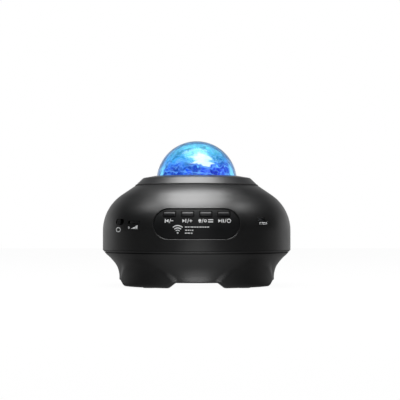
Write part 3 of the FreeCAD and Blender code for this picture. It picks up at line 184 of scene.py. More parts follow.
def moulded(name, finish):
    # a material from a finish: two colours in soft patches, uneven gloss and a fine grain, in real sizes
    material, tree, place = startMaterial(name)
    stretched = addNode(tree, "Mapping", [(place, "Vector")], Scale=finish.get("stretch", (1, 1, 1)))
    patches = addNode(tree, "TexNoise", [(stretched.outputs[0], "Vector")],
                      Scale=1 / (finish["patch"] * mm), Detail=3.0)
    grain = addNode(tree, "TexNoise", [(stretched.outputs[0], "Vector")],
                    Scale=1 / (finish["grain"] * mm), Detail=2.0)
    colour = addNode(tree, "Mix", [(patches.outputs[0], 0)], data_type="RGBA")
    colour.inputs[6].default_value = linear(finish["dark"])
    colour.inputs[7].default_value = linear(finish["light"])
    gloss = addNode(tree, "MapRange", [(patches.outputs[0], 0)],
                    _1=0.3, _2=0.7, _3=finish["rough"][0], _4=finish["rough"][1])
    bump = addNode(tree, "Bump", [(grain.outputs[0], "Height")], Strength=grainStrength,
                   Distance=finish["bump"] * mm)
    if "swell" in finish:
        # the moulding looks a little fuller between these two heights
        top, low, fullness = finish["swell"]
        level = addNode(tree, "SeparateXYZ", [(place, 0)])
        phase = addNode(tree, "MapRange", [(level.outputs[2], 0)], _1=low * mm, _2=top * mm,
                        _3=math.pi, _4=-math.pi / 2)
        wave = addNode(tree, "Math", [(phase.outputs[0], 0)], operation="COSINE")
        full = addNode(tree, "Bump", [(wave.outputs[0], "Height")], Strength=1.0, Distance=fullness * mm)
        tree.links.new(full.outputs[0], bump.inputs["Normal"])
    shader = addNode(tree, "BsdfPrincipled", [(colour.outputs[2], "Base Color"),
                                              (gloss.outputs[0], "Roughness"), (bump.outputs[0], "Normal")])
    for key in ("Metallic", "IOR", "Specular IOR Level", "Transmission Weight", "Subsurface Weight"):
        if key in finish:
            shader.inputs[key].default_value = finish[key]
    addNode(tree, "OutputMaterial", [(shader.outputs[0], "Surface")])
    return material


# patch, grain and bump are in millimetres, and fine grain is drawn coarser so that it shows;
# swell is the top and the low end of a fuller stretch, and how full it is
finishes = {
    # black ABS from a lightly etched mould: deep black, one broad soft highlight
    "abs_satin_moulded": {"dark": "#090a0b", "light": "#0d0e0f", "patch": 24, "grain": 0.35, "bump": 0.012,
                          "rough": (0.35, 0.41), "IOR": 1.54, "Specular IOR Level": 0.85,
                          "swell": (89.6, 76.0, 0.62), "slots": ["shell_plastic"]},
    # the same black ABS with a coarser, flatter etch for the base
    "abs_matt_moulded": {"dark": "#0c0d0e", "light": "#111213", "patch": 20, "grain": 0.45, "bump": 0.02,
                         "rough": (0.38, 0.45), "IOR": 1.54, "Specular IOR Level": 0.6,
                         "slots": ["base_plastic"]},
    # black ABS with a fine skin for the keys, and a flat one for the sunk panel round them
    "abs_fine_moulded": {"dark": "#101113", "light": "#16171a", "patch": 15, "grain": 0.25, "bump": 0.008,
                         "rough": (0.33, 0.4), "IOR": 1.54, "slots": ["button_plastic"]},
    "abs_flat_moulded": {"dark": "#161718", "light": "#1b1c1d", "patch": 15, "grain": 0.3, "bump": 0.012,
                         "rough": (0.38, 0.46), "IOR": 1.54, "Specular IOR Level": 0.25,
                         "slots": ["panel_plastic"]},
    # black nylon of the slide knob and the wheel, a little duller
    "nylon_matt_moulded": {"dark": "#101112", "light": "#17181a", "patch": 6, "grain": 0.3, "bump": 0.015,
                           "rough": (0.42, 0.5),
                           "slots": ["knob_plastic", "wheel_plastic", "inner_plastic"]},
    # pads of black silicone rubber: dull, a trace of dust
    "silicone_rubber": {"dark": "#141414", "light": "#232323", "patch": 5, "grain": 0.5, "bump": 0.03,
                        "rough": (0.7, 0.85), "slots": ["foot_rubber", "surround_rubber"]},
    "acetal_moulded": {"dark": "#e4e3dd", "light": "#f1f0ea", "patch": 8, "grain": 0.3, "bump": 0.01,
                       "rough": (0.35, 0.45), "Subsurface Weight": 0.05,
                       "slots": ["gear_plastic", "white_plastic"]},
    "steel_zinc_plated": {"dark": "#9c9fa3", "light": "#c3c6ca", "patch": 3, "grain": 0.15, "bump": 0.006,
                          "rough": (0.28, 0.45), "Metallic": 1.0,
                          "slots": ["screw_steel", "zinc_steel", "shield_steel", "inlet_steel"]},
    "ferrite_ground": {"dark": "#2c2b2b", "light": "#3b3a39", "patch": 4, "grain": 0.2, "bump": 0.02,
                       "rough": (0.5, 0.65), "slots": ["magnet_steel"]},
    "brass_turned": {"dark": "#b08d48", "light": "#cfae66", "patch": 3, "grain": 0.2, "bump": 0.004,
                     "rough": (0.22, 0.35), "Metallic": 1.0, "stretch": (1, 1, 9), "slots": ["brass_case"]},
    "aluminium_extruded": {"dark": "#b9bcbf", "light": "#d2d5d8", "patch": 5, "grain": 0.3, "bump": 0.006,
                           "rough": (0.3, 0.45), "Metallic": 1.0, "stretch": (1, 0.1, 1),
                           "slots": ["sink_aluminium"]},
    "solder_mask_white": {"dark": "#dfe2df", "light": "#efefec", "patch": 6, "grain": 0.4, "bump": 0.01,
                          "rough": (0.3, 0.4), "slots": ["white_board"]},
    "solder_mask_green": {"dark": "#114a2c", "light": "#1d6a3f", "patch": 2.2, "grain": 0.6, "bump": 0.02,
                          "rough": (0.3, 0.42), "slots": ["circuit_board"]},
    "lamp_epoxy": {"dark": "#e8d88a", "light": "#f3e7ab", "patch": 1.5, "grain": 0.4, "bump": 0.01,
                   "rough": (0.2, 0.3), "slots": ["lamp_resin"]},
    "chip_epoxy": {"dark": "#1d1d1e", "light": "#2a2a2b", "patch": 2, "grain": 0.2, "bump": 0.02,
                   "rough": (0.5, 0.6), "slots": ["chip_resin"]},
    "sleeve_vinyl": {"dark": "#1b2650", "light": "#26356b", "patch": 3, "grain": 0.4, "bump": 0.01,
                     "rough": (0.3, 0.4), "slots": ["capacitor_sleeve"]},
    "paper_pulp_pressed": {"dark": "#1c1b1a", "light": "#2d2b29", "patch": 2, "grain": 0.5, "bump": 0.08,
                           "rough": (0.8, 0.95), "slots": ["cone_paper"]},
    "copper_enamelled": {"dark": "#8e4a26", "light": "#b86a3c", "patch": 1.5, "grain": 0.25, "bump": 0.05,
                         "rough": (0.25, 0.4), "Metallic": 1.0, "stretch": (1, 1, 6),
                         "slots": ["coil_copper"]},
    "foam_cut": {"dark": "#262626", "light": "#3a3a3a", "patch": 2, "grain": 0.6, "bump": 0.15,
                 "rough": (0.9, 1.0), "slots": ["foam_gasket"]},
    "glass_polished": {"dark": "#e9f2f4", "light": "#f5fbfc", "patch": 6, "grain": 0.4, "bump": 0.001,
                       "rough": (0.02, 0.04), "Transmission Weight": 1.0, "IOR": 1.52,
                       "slots": ["lens_glass"]},
}
bySlot = {}
for name, finish in finishes.items():
    made = moulded(name, finish)
    for slotName in finish["slots"]:
        bySlot[slotName] = made
print("plain finishes made:", len(finishes))


# Top ring: black ABS, lathe-turned look, with fine level lines and a silkier shine than the body
ringFinish = {"dark": "#1a1b1d", "light": "#242527", "line": 0.45, "bump": 0.015, "strength": 0.3,
              "rough": (0.36, 0.44), "ior": 1.54, "mirror": 0.9}


def turnedRing():
    material, tree, place = startMaterial("abs_satin_turned")
    split = addNode(tree, "SeparateXYZ", [(place, 0)])
    flat = addNode(tree, "CombineXYZ", [(split.outputs[0], 0), (split.outputs[1], 1)])
    radius = addNode(tree, "VectorMath", [(flat.outputs[0], 0)], operation="LENGTH")
    along = addNode(tree, "Math", [(radius.outputs["Value"], 0), (split.outputs[2], 1)],
                    operation="SUBTRACT")
    lines = addNode(tree, "TexNoise", [(along.outputs[0], "W")], noise_dimensions="1D",
                    Scale=1 / (ringFinish["line"] * mm), Detail=2.0)
    colour = addNode(tree, "Mix", [(lines.outputs[0], 0)], data_type="RGBA")
    colour.inputs[6].default_value = linear(ringFinish["dark"])
    colour.inputs[7].default_value = linear(ringFinish["light"])
    gloss = addNode(tree, "MapRange", [(lines.outputs[0], 0)], _1=0.3, _2=0.7,
                    _3=ringFinish["rough"][0], _4=ringFinish["rough"][1])
    bump = addNode(tree, "Bump", [(lines.outputs[0], "Height")], Strength=ringFinish["strength"],
                   Distance=ringFinish["bump"] * mm)
    shader = addNode(tree, "BsdfPrincipled", [(colour.outputs[2], "Base Color"),
                                              (gloss.outputs[0], "Roughness"), (bump.outputs[0], "Normal")],
                     IOR=ringFinish["ior"])
    shader.inputs["Specular IOR Level"].default_value = ringFinish["mirror"]
    addNode(tree, "OutputMaterial", [(shader.outputs[0], "Surface")])
    return material


bySlot["bezel_plastic"] = turnedRing()

# Outer dome: clear polycarbonate, polished, with the faint blue that shows where the wall is seen edge on
domeFinish = {"tint": "#f2f8ff", "mirrorTint": "#70bcd4", "rough": 0.13, "ior": 1.49, "wave": 8.0,
              "waveDepth": 0.3, "depthTint": "#3abcee", "depth": 350}


def clearDome():
    material, tree, place = startMaterial("polycarbonate_polished")
    waves = addNode(tree, "TexNoise", [(place, "Vector")], Scale=1 / (domeFinish["wave"] * mm), Detail=1.0)
    bump = addNode(tree, "Bump", [(waves.outputs[0], "Height")], Strength=1.0,
                   Distance=domeFinish["waveDepth"] * mm)
    shader = addNode(tree, "BsdfPrincipled", [(bump.outputs[0], "Normal")],
                     Roughness=domeFinish["rough"], IOR=domeFinish["ior"])
    shader.inputs["Base Color"].default_value = linear(domeFinish["tint"])
    shader.inputs["Transmission Weight"].default_value = 1.0
    shader.inputs["Specular Tint"].default_value = linear(domeFinish["mirrorTint"])
    # blue gathers where the wall is seen edge on
    inside = addNode(tree, "VolumeAbsorption", Color=linear(domeFinish["depthTint"]),
                     Density=domeFinish["depth"])
    addNode(tree, "OutputMaterial", [(shader.outputs[0], "Surface"), (inside.outputs[0], "Volume")])
    return material


bySlot["clear_dome"] = clearDome()

# Ripple dome: acrylic cast in facets and swirls; the light of the blue, cyan, violet and white lamps inside
# it is painted on as an emission glow.
# Lengths and heights are in millimetres, stops and shares run from 0 to 1
glow = {"strength": 1.7, "body": "#101850", "rough": 0.2, "ior": 1.49, "mirror": 0.3,
        "swirl": 13.0, "push": 15.0, "line": "#8cc4e6",
        "span": (98, 134),
        "stops": ((0.1, "#082aa2"), (0.4, "#1550b4"), (0.68, "#34a8bc"), (0.9, "#78dacc")),
        "violet": "#3230c0", "violetPatch": 20, "violetSpan": (108, 122), "violetEdge": (0.46, 0.6),
        "violetShare": 0.8,
        "facet": 5.5, "cells": (0.55, 1.3), "facetEdge": 0.1, "facetLine": 0.3,
        "swirlGap": 5.0, "swirlEdge": 0.82, "swirlShare": 0.5,
        "sparkGap": 8.0, "sparkEdge": (0.07, 0.15), "sparkShare": 0.95,
        "core": "#fbffff", "rim": "#8fe0ee", "imageDepth": 16, "imageEdge": (0.05, 0.4),
        # lamp images, painted highlights: turn from the front (degrees), reach, height, half width, half
        # height, colour
        "images": ((15, 25, 116.5, 9, 2.8, "rim"), (9, 28, 113.5, 11, 4.2, "core"),
                   (9, 30, 108.5, 13, 2.8, "core")),
        "sideImages": ((-71, 33, 98.0, 7, 13, "rim"), (73, 33, 98.0, 7, 13, "rim"))}
waveBand = 0.314  # a wave texture of scale 1 repeats at this distance


def paint(tree, share, below, colour):
    # lays one colour over what lies below, by this share
    mixed = addNode(tree, "Mix", [(share, 0), (below, 6)], data_type="RGBA")
    mixed.inputs[7].default_value = linear(colour)
    return mixed.outputs[2]


def paintedRippleGlow():
    material, tree, place = startMaterial("acrylic_cast_painted_glow")
    # the swirls push every other pattern about
    swirl = addNode(tree, "TexNoise", [(place, "Vector")], Scale=1 / (glow["swirl"] * mm), Detail=1.5,
                    Distortion=1.2)
    push = addNode(tree, "VectorMath", [(swirl.outputs["Color"], 0)], operation="SCALE",
                   Scale=glow["push"] * mm)
    pushed = addNode(tree, "VectorMath", [(place, 0), (push.outputs[0], 1)], operation="ADD").outputs[0]
    height = addNode(tree, "SeparateXYZ", [(pushed, 0)]).outputs[2]
    # the painted glow goes up the dome from deep blue to pale cyan
    foot, top = glow["span"]
    up = addNode(tree, "MapRange", [(height, 0)], _1=foot * mm, _2=top * mm, _3=0.0, _4=1.0)
    bands = addNode(tree, "ValToRGB", [(up.outputs[0], 0)])
    stops = bands.color_ramp.elements
    for share, colour in glow["stops"]:
        stops.new(share).color = linear(colour)
    stops.remove(stops[-1])
    stops.remove(stops[0])
    # painted violet lamp light in broad patches low down
    foot, top = glow["violetSpan"]
    patch = addNode(tree, "TexNoise", [(place, "Vector")], Scale=1 / (glow["violetPatch"] * mm), Detail=0.5)
    lowDown = addNode(tree, "MapRange", [(height, 0)], _1=foot * mm, _2=top * mm, _3=glow["violetShare"],
                      _4=0.0)
    violet = addNode(tree, "MapRange", [(patch.outputs[0], 0), (lowDown.outputs[0], 4)],
                     _1=glow["violetEdge"][0], _2=glow["violetEdge"][1], _3=0.0)
    result = paint(tree, violet.outputs[0], bands.outputs[0], glow["violet"])
    # facets: each cell takes its own painted brightness, and its edges get a painted pale line of light
    cells = addNode(tree, "TexVoronoi", [(pushed, "Vector")], Scale=1 / (glow["facet"] * mm))
    cellLight = addNode(tree, "SeparateColor", [(cells.outputs["Color"], 0)])
    facetLight = addNode(tree, "MapRange", [(cellLight.outputs[0], 0)], _1=0.0, _2=1.0,
                         _3=glow["cells"][0], _4=glow["cells"][1])
    shaded = addNode(tree, "Mix", [(result, 6), (facetLight.outputs[0], 7)], data_type="RGBA",
                     blend_type="MULTIPLY", _0=1.0)
    edges = addNode(tree, "TexVoronoi", [(pushed, "Vector")], feature="DISTANCE_TO_EDGE",
                    Scale=1 / (glow["facet"] * mm))
    lines = addNode(tree, "MapRange", [(edges.outputs["Distance"], 0)], _1=0.0, _2=glow["facetEdge"],
                    _3=glow["facetLine"], _4=0.0)
    result = paint(tree, lines.outputs[0], shaded.outputs[2], glow["line"])
    # fine pale swirls of painted light that run round the dome
    rings = addNode(tree, "TexWave", [(pushed, "Vector")], bands_direction="Z",
                    Scale=waveBand / (glow["swirlGap"] * mm), Distortion=4.0, Detail=2.0)
    rings.inputs["Detail Scale"].default_value = 0.6
    ringShare = addNode(tree, "MapRange", [(rings.outputs["Fac"], 0)], _1=glow["swirlEdge"], _2=1.0,
                        _3=0.0, _4=glow["swirlShare"])
    result = paint(tree, ringShare.outputs[0], result, glow["line"])
    # painted sparks of light where a facet would look straight at a lamp
    sparks = addNode(tree, "TexVoronoi", [(pushed, "Vector")], Scale=1 / (glow["sparkGap"] * mm))
    sparkShare = addNode(tree, "MapRange", [(sparks.outputs["Distance"], 0)], _1=glow["sparkEdge"][0],
                         _2=glow["sparkEdge"][1], _3=glow["sparkShare"], _4=0.0)
    result = paint(tree, sparkShare.outputs[0], result, glow["rim"])
    # painted highlights: images of the three lamps, which stand for lamps that shine straight through, one
    # of them at the front
    lift = glow["push"] / 2
    images = [(image[0] + 120 * lamp,) + image[1:] for lamp in range(3) for image in glow["images"]]
    for around, reach, level, wide, tall, colour in images + list(glow["sideImages"]):
        turn = math.radians(around)
        spot = addNode(tree, "Mapping", [(pushed, "Vector")], vector_type="TEXTURE", Rotation=(0, 0, turn),
                       Location=((reach * math.sin(turn) + lift) * mm,
                                 (lift - reach * math.cos(turn)) * mm, (level + lift) * mm),
                       Scale=(wide * mm, glow["imageDepth"] * mm, tall * mm))
        blob = addNode(tree, "TexGradient", [(spot.outputs[0], "Vector")], gradient_type="SPHERICAL")
        share = addNode(tree, "MapRange", [(blob.outputs[0], 0)], _1=glow["imageEdge"][0],
                        _2=glow["imageEdge"][1], _3=0.0, _4=1.0)
        result = paint(tree, share.outputs[0], result, glow[colour])
    # the dome gives out all this painted light itself, though it is no lamp
    shader = addNode(tree, "BsdfPrincipled", [(result, "Emission Color")], Roughness=glow["rough"],
                     IOR=glow["ior"])
    shader.inputs["Base Color"].default_value = linear(glow["body"])
    shader.inputs["Specular IOR Level"].default_value = glow["mirror"]
    shader.inputs["Emission Strength"].default_value = glow["strength"]
    addNode(tree, "OutputMaterial", [(shader.outputs[0], "Surface")])
    return material


bySlot["ripple_dome"] = paintedRippleGlow()

# Every CAD node takes the finish that its slot asks for
for name, node in nodes.items():
    for slotOfNode in node.material_slots:
        wanted = slotOfNode.material.name.split(".")[0] if slotOfNode.material else ""
        if wanted in bySlot:
            slotOfNode.material = bySlot[wanted]
        else:
            print("no finish for", name, wanted)
print("frame dressed:", len(nodes), "nodes")

# Ripple dome, a faceted ball that stands over the ring gear
ripple = {"center": 93.5, "radius": 33.4, "foot": 87.0, "facet": 8.0, "depth": 0.9, "fineness": 7}
pickNothing()
bpy.ops.mesh.primitive_ico_sphere_add(subdivisions=ripple["fineness"], radius=ripple["radius"] * mm,
                                      location=(0, 0, ripple["center"] * mm))
rippleDome = newest("rippleDome")
applyPlace(rippleDome)
pattern = bpy.data.textures.new("rippleFacets", "VORONOI")
pattern.noise_scale = ripple["facet"] * mm
pattern.distance_metric = "DISTANCE"
modify(rippleDome, "DISPLACE", texture=pattern, texture_coords="LOCAL", strength=ripple["depth"] * mm,
       mid_level=0.5)
editStart(rippleDome, "FACE", everything)
bpy.ops.mesh.bisect(plane_co=(0, 0, ripple["foot"] * mm), plane_no=(0, 0, 1), clear_inner=True)
editEnd()
smooth(rippleDome, 30)
finishPiece(rippleDome, "rotor", bySlot["ripple_dome"], "ripple_dome", "ripple_dome")
print("ripple dome:", len(rippleDome.data.polygons), "faces")


def followSkin(piece, depth):
    # a piece made flat, with its front at y = 0, is bent on to the skin, this deep under it
    for vertex in piece.data.vertices:
        vertex.co.y += skinDepth(vertex.co.x, vertex.co.z, depth)
    piece.data.update()


# Four keys: rounded caps that follow the shoulder, each with a skirt behind the panel
keys = {"level": 63.714, "pitch": 15.25, "wide": 9.4, "tall": 3.5, "corner": 0.6, "edge": 0.4, "sunk": 0.15,
        "crown": 0.28, "skirt": 1.0, "skirtDepth": 4.0, "skirtEdge": 0.2, "back": 69.3, "blank": 4.0,
        "strips": 8, "rows": 7}
keyBodies = {"volume_down": -1.5, "volume_up": -0.5, "light": 0.5, "mode": 1.5}  # places, in pitches


def keyBlock(name, across, grow, depth, edge, crown):
    # a rounded block, cut into strips and rows so that it can bend on to the skin
    half = (keys["wide"] / 2 + grow) * mm
    halfTall = (keys["tall"] / 2 + grow) * mm
    deep = keys["blank"] * mm
    pickNothing()
    bpy.ops.mesh.primitive_cube_add(size=1, location=(across, deep / 2, keys["level"] * mm))
    piece = newest(name)
    piece.scale = (half * 2, deep, halfTall * 2)
    applyPlace(piece)
    editStart(piece, "EDGE", lambda middle, along: abs(along.y) > 0.9)
    bpy.ops.mesh.bevel(offset=keys["corner"] * mm, segments=4)
    editEnd()
    editStart(piece, "EDGE", lambda middle, along: middle.y < 0.01 * mm and abs(along.y) < 0.1)
    bpy.ops.mesh.bevel(offset=edge * mm, segments=3)
    editEnd()
    left, bottom = across - half, keys["level"] * mm - halfTall
    cuts = [((left + 2 * half * strip / keys["strips"], 0, 0), (1, 0, 0))
            for strip in range(1, keys["strips"])]
    cuts += [((0, 0, bottom + 2 * halfTall * row / keys["rows"]), (0, 0, 1))
             for row in range(1, keys["rows"])]
    for place, direction in cuts:
        editStart(piece, "FACE", everything)
        bpy.ops.mesh.bisect(plane_co=place, plane_no=direction)
        editEnd()
    back = [vertex.index for vertex in piece.data.vertices if vertex.co.y > deep - 0.1 * mm]
    for vertex in piece.data.vertices:  # the face is crowned from top to bottom
        vertex.co.y += crown * mm * ((vertex.co.z - keys["level"] * mm) / halfTall) ** 2
    followSkin(piece, depth)
    for index in back:
        piece.data.vertices[index].co.y = -keys["back"] * mm
    return piece


for label, share in keyBodies.items():
    across = keys["pitch"] * share * mm
    cap = keyBlock("cap", across, 0, keys["sunk"], keys["edge"], keys["crown"])
    skirt = keyBlock("skirt", across, keys["skirt"], keys["skirtDepth"], keys["skirtEdge"], 0)
    key = join(label + "Key", [cap, skirt])
    smooth(key, 40)
    finishPiece(key, label + "_key", bySlot["button_plastic"], "button_plastic", label + "_button")
print("keys:", len(keyBodies))

# Lip round the sunk panel: a fine rounded edge that catches the light
lip = {"half": 37.0, "halfTall": 13.3, "level": 55.41, "round": 0.45, "sunk": 0.45, "steps": 40,
       "straightSteps": 16, "sides": 8}


def stadiumPath(half, halfTall, level, steps, straightSteps):
    # points of a stadium on the wall, the long way across
    reach = half - halfTall
    points = []
    for side in (1, -1):
        for step in range(steps + 1):
            angle = math.pi * step / steps - math.pi / 2
            points.append((side * (reach + halfTall * math.cos(angle)),
                           level + side * halfTall * math.sin(angle)))
        for step in range(1, straightSteps):
            points.append((side * reach * (1 - 2 * step / straightSteps), level + side * halfTall))
    return points


def edgeRoll(name, points, radius, depth, sides):
    # a thin closed roll along these places on the skin
    path = bpy.data.curves.new(name, "CURVE")
    path.dimensions = "3D"
    spline = path.splines.new("POLY")
    spline.points.add(len(points) - 1)
    for point, (across, level) in zip(spline.points, points):
        y = skinDepth(across * mm, level * mm, depth)
        point.co = (across * mm, y, level * mm, 1)
    spline.use_cyclic_u = True
    path.bevel_depth = radius * mm
    path.bevel_resolution = sides // 4
    piece = bpy.data.objects.new(name, path)
    bpy.context.scene.collection.objects.link(piece)
    grab(piece)
    bpy.ops.object.convert(target="MESH")
    piece = newest(name)
    for face in piece.data.polygons:
        face.use_smooth = True
    return piece


lipPath = stadiumPath(lip["half"], lip["halfTall"], lip["level"], lip["steps"], lip["straightSteps"])
panelLip = edgeRoll("panelLip", lipPath, lip["round"], lip["sunk"], lip["sides"])
finishPiece(panelLip, "housing", bySlot["shell_plastic"], "shell_plastic")
print("panel lip:", len(panelLip.data.polygons), "faces")

# Screen-printed signs: thin flat shapes laid on the skin, in millimetres across and up
ink = {"dark": "#eef1f2", "light": "#fbfcfc", "patch": 1.5, "grain": 0.3, "bump": 0.01,
       "rough": (0.45, 0.6)}
inkMaterial = moulded("ink_screen_printed", ink)
inkLayer = {"thickness": 0.05, "lift": 0.03}


def shape(sides, place, size, turn=0, stroke=0, corner=0):
    # a disc, ring, bar or triangle facing the front; a stroke leaves only its rim
    pickNothing()
    bpy.ops.mesh.primitive_circle_add(vertices=sides, radius=0.5 * mm, fill_type="NGON",
                                      rotation=(0, 0, math.pi / 4 if sides == 4 else math.pi / 2))
    piece = newest("shape")
    applyPlace(piece)
    spread = math.sqrt(2) if sides == 4 else 1
    piece.scale = (size[0] * spread, size[1] * spread, 1)
    applyPlace(piece)
    if corner:
        editStart(piece, "VERT", everything)
        bpy.ops.mesh.bevel(offset=corner * mm, segments=4, affect="VERTICES")
        editEnd()
    if stroke:
        editStart(piece, "FACE", everything)
        bpy.ops.mesh.inset(thickness=stroke * mm)
        bpy.ops.mesh.delete(type="FACE")
        editEnd()
    piece.rotation_euler = (math.pi / 2, math.radians(turn), 0)
    piece.location = (place[0] * mm, 0, place[1] * mm)
    applyPlace(piece)
    return piece


def ramp(place, size):
    # a right-angled ramp that rises to the right
    piece = shape(4, place, size)
    corner = Vector(((place[0] - size[0] / 2) * mm, 0, (place[1] - size[1] / 2) * mm))
    editStart(piece, "FACE", everything)
    slant = Vector((-size[1], 0, size[0])).normalized()
    bpy.ops.mesh.bisect(plane_co=corner, plane_no=slant, clear_outer=True)
    editEnd()
    return piece


def arc(place, radius, stroke, spread):
    # a part of a ring that opens upwards, spread to each side
    piece = shape(40, place, (radius * 2, radius * 2), stroke=stroke)
    center = Vector((place[0] * mm, 0, place[1] * mm))
    for side in (-1, 1):
        angle = math.radians(spread)
        editStart(piece, "FACE", everything)
        bpy.ops.mesh.bisect(plane_co=center, plane_no=(side * math.cos(angle), 0, -math.sin(angle)),
                            clear_outer=True)
        editEnd()
    return piece


def printSign(name, shapes, depth, turn=0, material=inkMaterial, slot="panel_plastic"):
    # joins the shapes, bends them on to the skin, gives them thickness and turns them round the body
    sign = join(name, shapes)
    editStart(sign, "FACE", everything)
    bpy.ops.mesh.quads_convert_to_tris()
    bpy.ops.mesh.subdivide(number_cuts=1)
    bpy.ops.mesh.normals_make_consistent(inside=False)
    editEnd()
    followSkin(sign, depth - inkLayer["lift"])
    modify(sign, "SOLIDIFY", thickness=inkLayer["thickness"] * mm, offset=0)
    sign.rotation_euler = (0, 0, math.radians(turn))
    finishPiece(sign, "housing", material, slot)
    return sign


panelSunk = 0.9  # how deep the panel lies under the skin
signRow = 58.0  # height of the row of key signs


def arrow(across, turn=0):
    # a triangle of the row of key signs, pointing left at turn 0
    return shape(3, (across, signRow), (3.2, 3.2), turn)


def upright(across, tall):
    # an upright bar of that row
    return shape(4, (across, signRow), (0.7, tall))


def slash(across):
    # a leaning bar between two signs
    return shape(4, (across, signRow), (0.5, 3.6), 18)


waves = (-15.9, 47.9)  # place of the dot under the radio waves
signs = {
    # back a track, and softer
    "signBack": [upright(-26.4, 3.2), arrow(-24.4), slash(-22.3), shape(4, (-20.6, signRow), (2.0, 0.6))],
    # on a track, and louder
    "signOn": [arrow(-11.2, 180), upright(-9.1, 3.2), slash(-7.1), shape(4, (-4.9, signRow), (2.4, 0.6)),
               shape(4, (-4.9, signRow), (0.6, 2.4))],
    # lamp and laser
    "signLight": [shape(20, (2.6, signRow + 0.3), (2.5, 2.5)), shape(4, (2.6, signRow - 1.35), (1.3, 0.5)),
                  slash(4.9), shape(8, (7.2, signRow), (2.6, 2.6), stroke=0.6),
                  shape(4, (11.6, signRow + 0.9), (4.2, 0.8)), shape(4, (11.6, signRow - 0.9), (4.2, 0.8))],
    # play, pause and change of mode
    "signMode": [arrow(18.9, 180), upright(21.1, 2.9), upright(22.4, 2.9), slash(24.1),
                 shape(24, (27.0, signRow), (3.6, 3.6), stroke=0.6)],
    # radio waves over a dot
    "signWaves": [arc(waves, 6.6, 0.9, 42), arc(waves, 4.6, 0.9, 42), arc(waves, 2.7, 0.8, 42),
                  shape(16, waves, (1.5, 1.5))],
}
for name, shapes in signs.items():
    printSign(name, shapes, panelSunk)

# Three rows of plain dashes beside the waves: the height of each row and the lengths in it
dashes = {"start": -9.8, "gap": 0.55, "tall": 0.9,
          "rows": {52.8: (1.6, 1.2, 0.7, 2.0, 1.4, 1.7, 2.1, 1.2, 1.8, 1.5), 50.1: (1.9, 1.3, 0.7, 1.4),
                   47.7: (1.5, 2.2, 1.6)}}
marks = []
for level, lengths in dashes["rows"].items():
    across = dashes["start"]
    for length in lengths:
        marks.append(shape(4, (across + length / 2, level), (length, dashes["tall"])))
        across += length + dashes["gap"]
printSign("signDashes", marks, panelSunk)

# Rubber web round the keys: a black flange that closes the gap between each key and the panel; its
# near-black also stands for the shadow in that gap, so it is partly painted shade
shadowWeb = {"dark": "#040404", "light": "#070707", "patch": 4, "grain": 0.4, "bump": 0.02, "rough": (0.55, 0.65),
       "Specular IOR Level": 0.12, "flange": 0.8, "gap": 0.08, "corner": 1.0}
spread = (shadowWeb["flange"] + shadowWeb["gap"]) * 2
shadowWebSize = (keys["wide"] + spread, keys["tall"] + spread)
shadowWebRings = [shape(4, (keys["pitch"] * share, keys["level"]), shadowWebSize, stroke=shadowWeb["flange"],
                  corner=shadowWeb["corner"]) for share in keyBodies.values()]
printSign("keyWeb", shadowWebRings, panelSunk, 0, moulded("silicone_painted_shade", shadowWeb), "foot_rubber")

# Signs beside the side controls, each at its turn round the body: a ring for the switch, a ramp for the
# wheel and a direct-current mark for the inlet
sideTurns = {"switch": -53.5, "wheel": -40.3, "inlet": 42.9}
printSign("signSwitch", [shape(28, (0, 50.4), (7.6, 4.5), stroke=0.95)], 0, sideTurns["switch"])
printSign("signRamp", [shape(3, (-4.8, 52.2), (2.6, 3.1), 180), ramp((1.4, 52.8), (7.8, 3.4))], 0,
          sideTurns["wheel"])
inletSign = [shape(4, (0, 56.6), (4.2, 0.8))]
inletSign += [shape(4, (across, 55.3), (1.1, 0.8)) for across in (-1.55, 0, 1.55)]
inletSign += [shape(16, (across, 55.95), (2.0, 2.1), stroke=0.5) for across in (-3.7, 3.7)]
inletSign += [shape(12, (3.7, 55.95), (0.6, 0.6))]
printSign("signInlet", inletSign, 0, sideTurns["inlet"])
print("signs printed")

# Base skin: one soft surface over the bowl and the four foot lobes, with a lip over each gap between feet
base = {"skirt": 68.1, "skirtFoot": 5.2, "corner": 69.3, "cornerHeight": 18.0, "cornerSoft": 2.2,
        "top": 29.9, "stand": 0.06, "proud": 0.5, "proudSpan": (25, 29),
        "lobe": 1.6, "lobeLow": 1, "lobeSoft": 7.0, "archRadius": 42.9, "archTop": 20.5, "archReach": 42,
        "footBottom": 0.57, "footRound": 2.9, "gapFoot": 26.35, "gapTop": 18.7,
        "lip": 0.8, "lipHeight": 6.0, "lipCurve": 1.9, "lipStart": 6, "lipRound": 1.4,
        "tuck": 3.0, "tuckRows": 3, "columns": 360, "rows": 44, "rowCurve": 1.35, "thickness": 0.04}


def ease(value, low, high):
    share = min(max((value - low) / (high - low), 0), 1)
    return share * share * (3 - 2 * share)


def gapHeight(across):
    # how high the gap between two feet is at this distance from its middle
    slope = base["skirtFoot"] / (base["gapFoot"] - base["gapTop"])
    return min(base["skirtFoot"], max(base["footBottom"], (base["gapFoot"] - abs(across)) * slope))


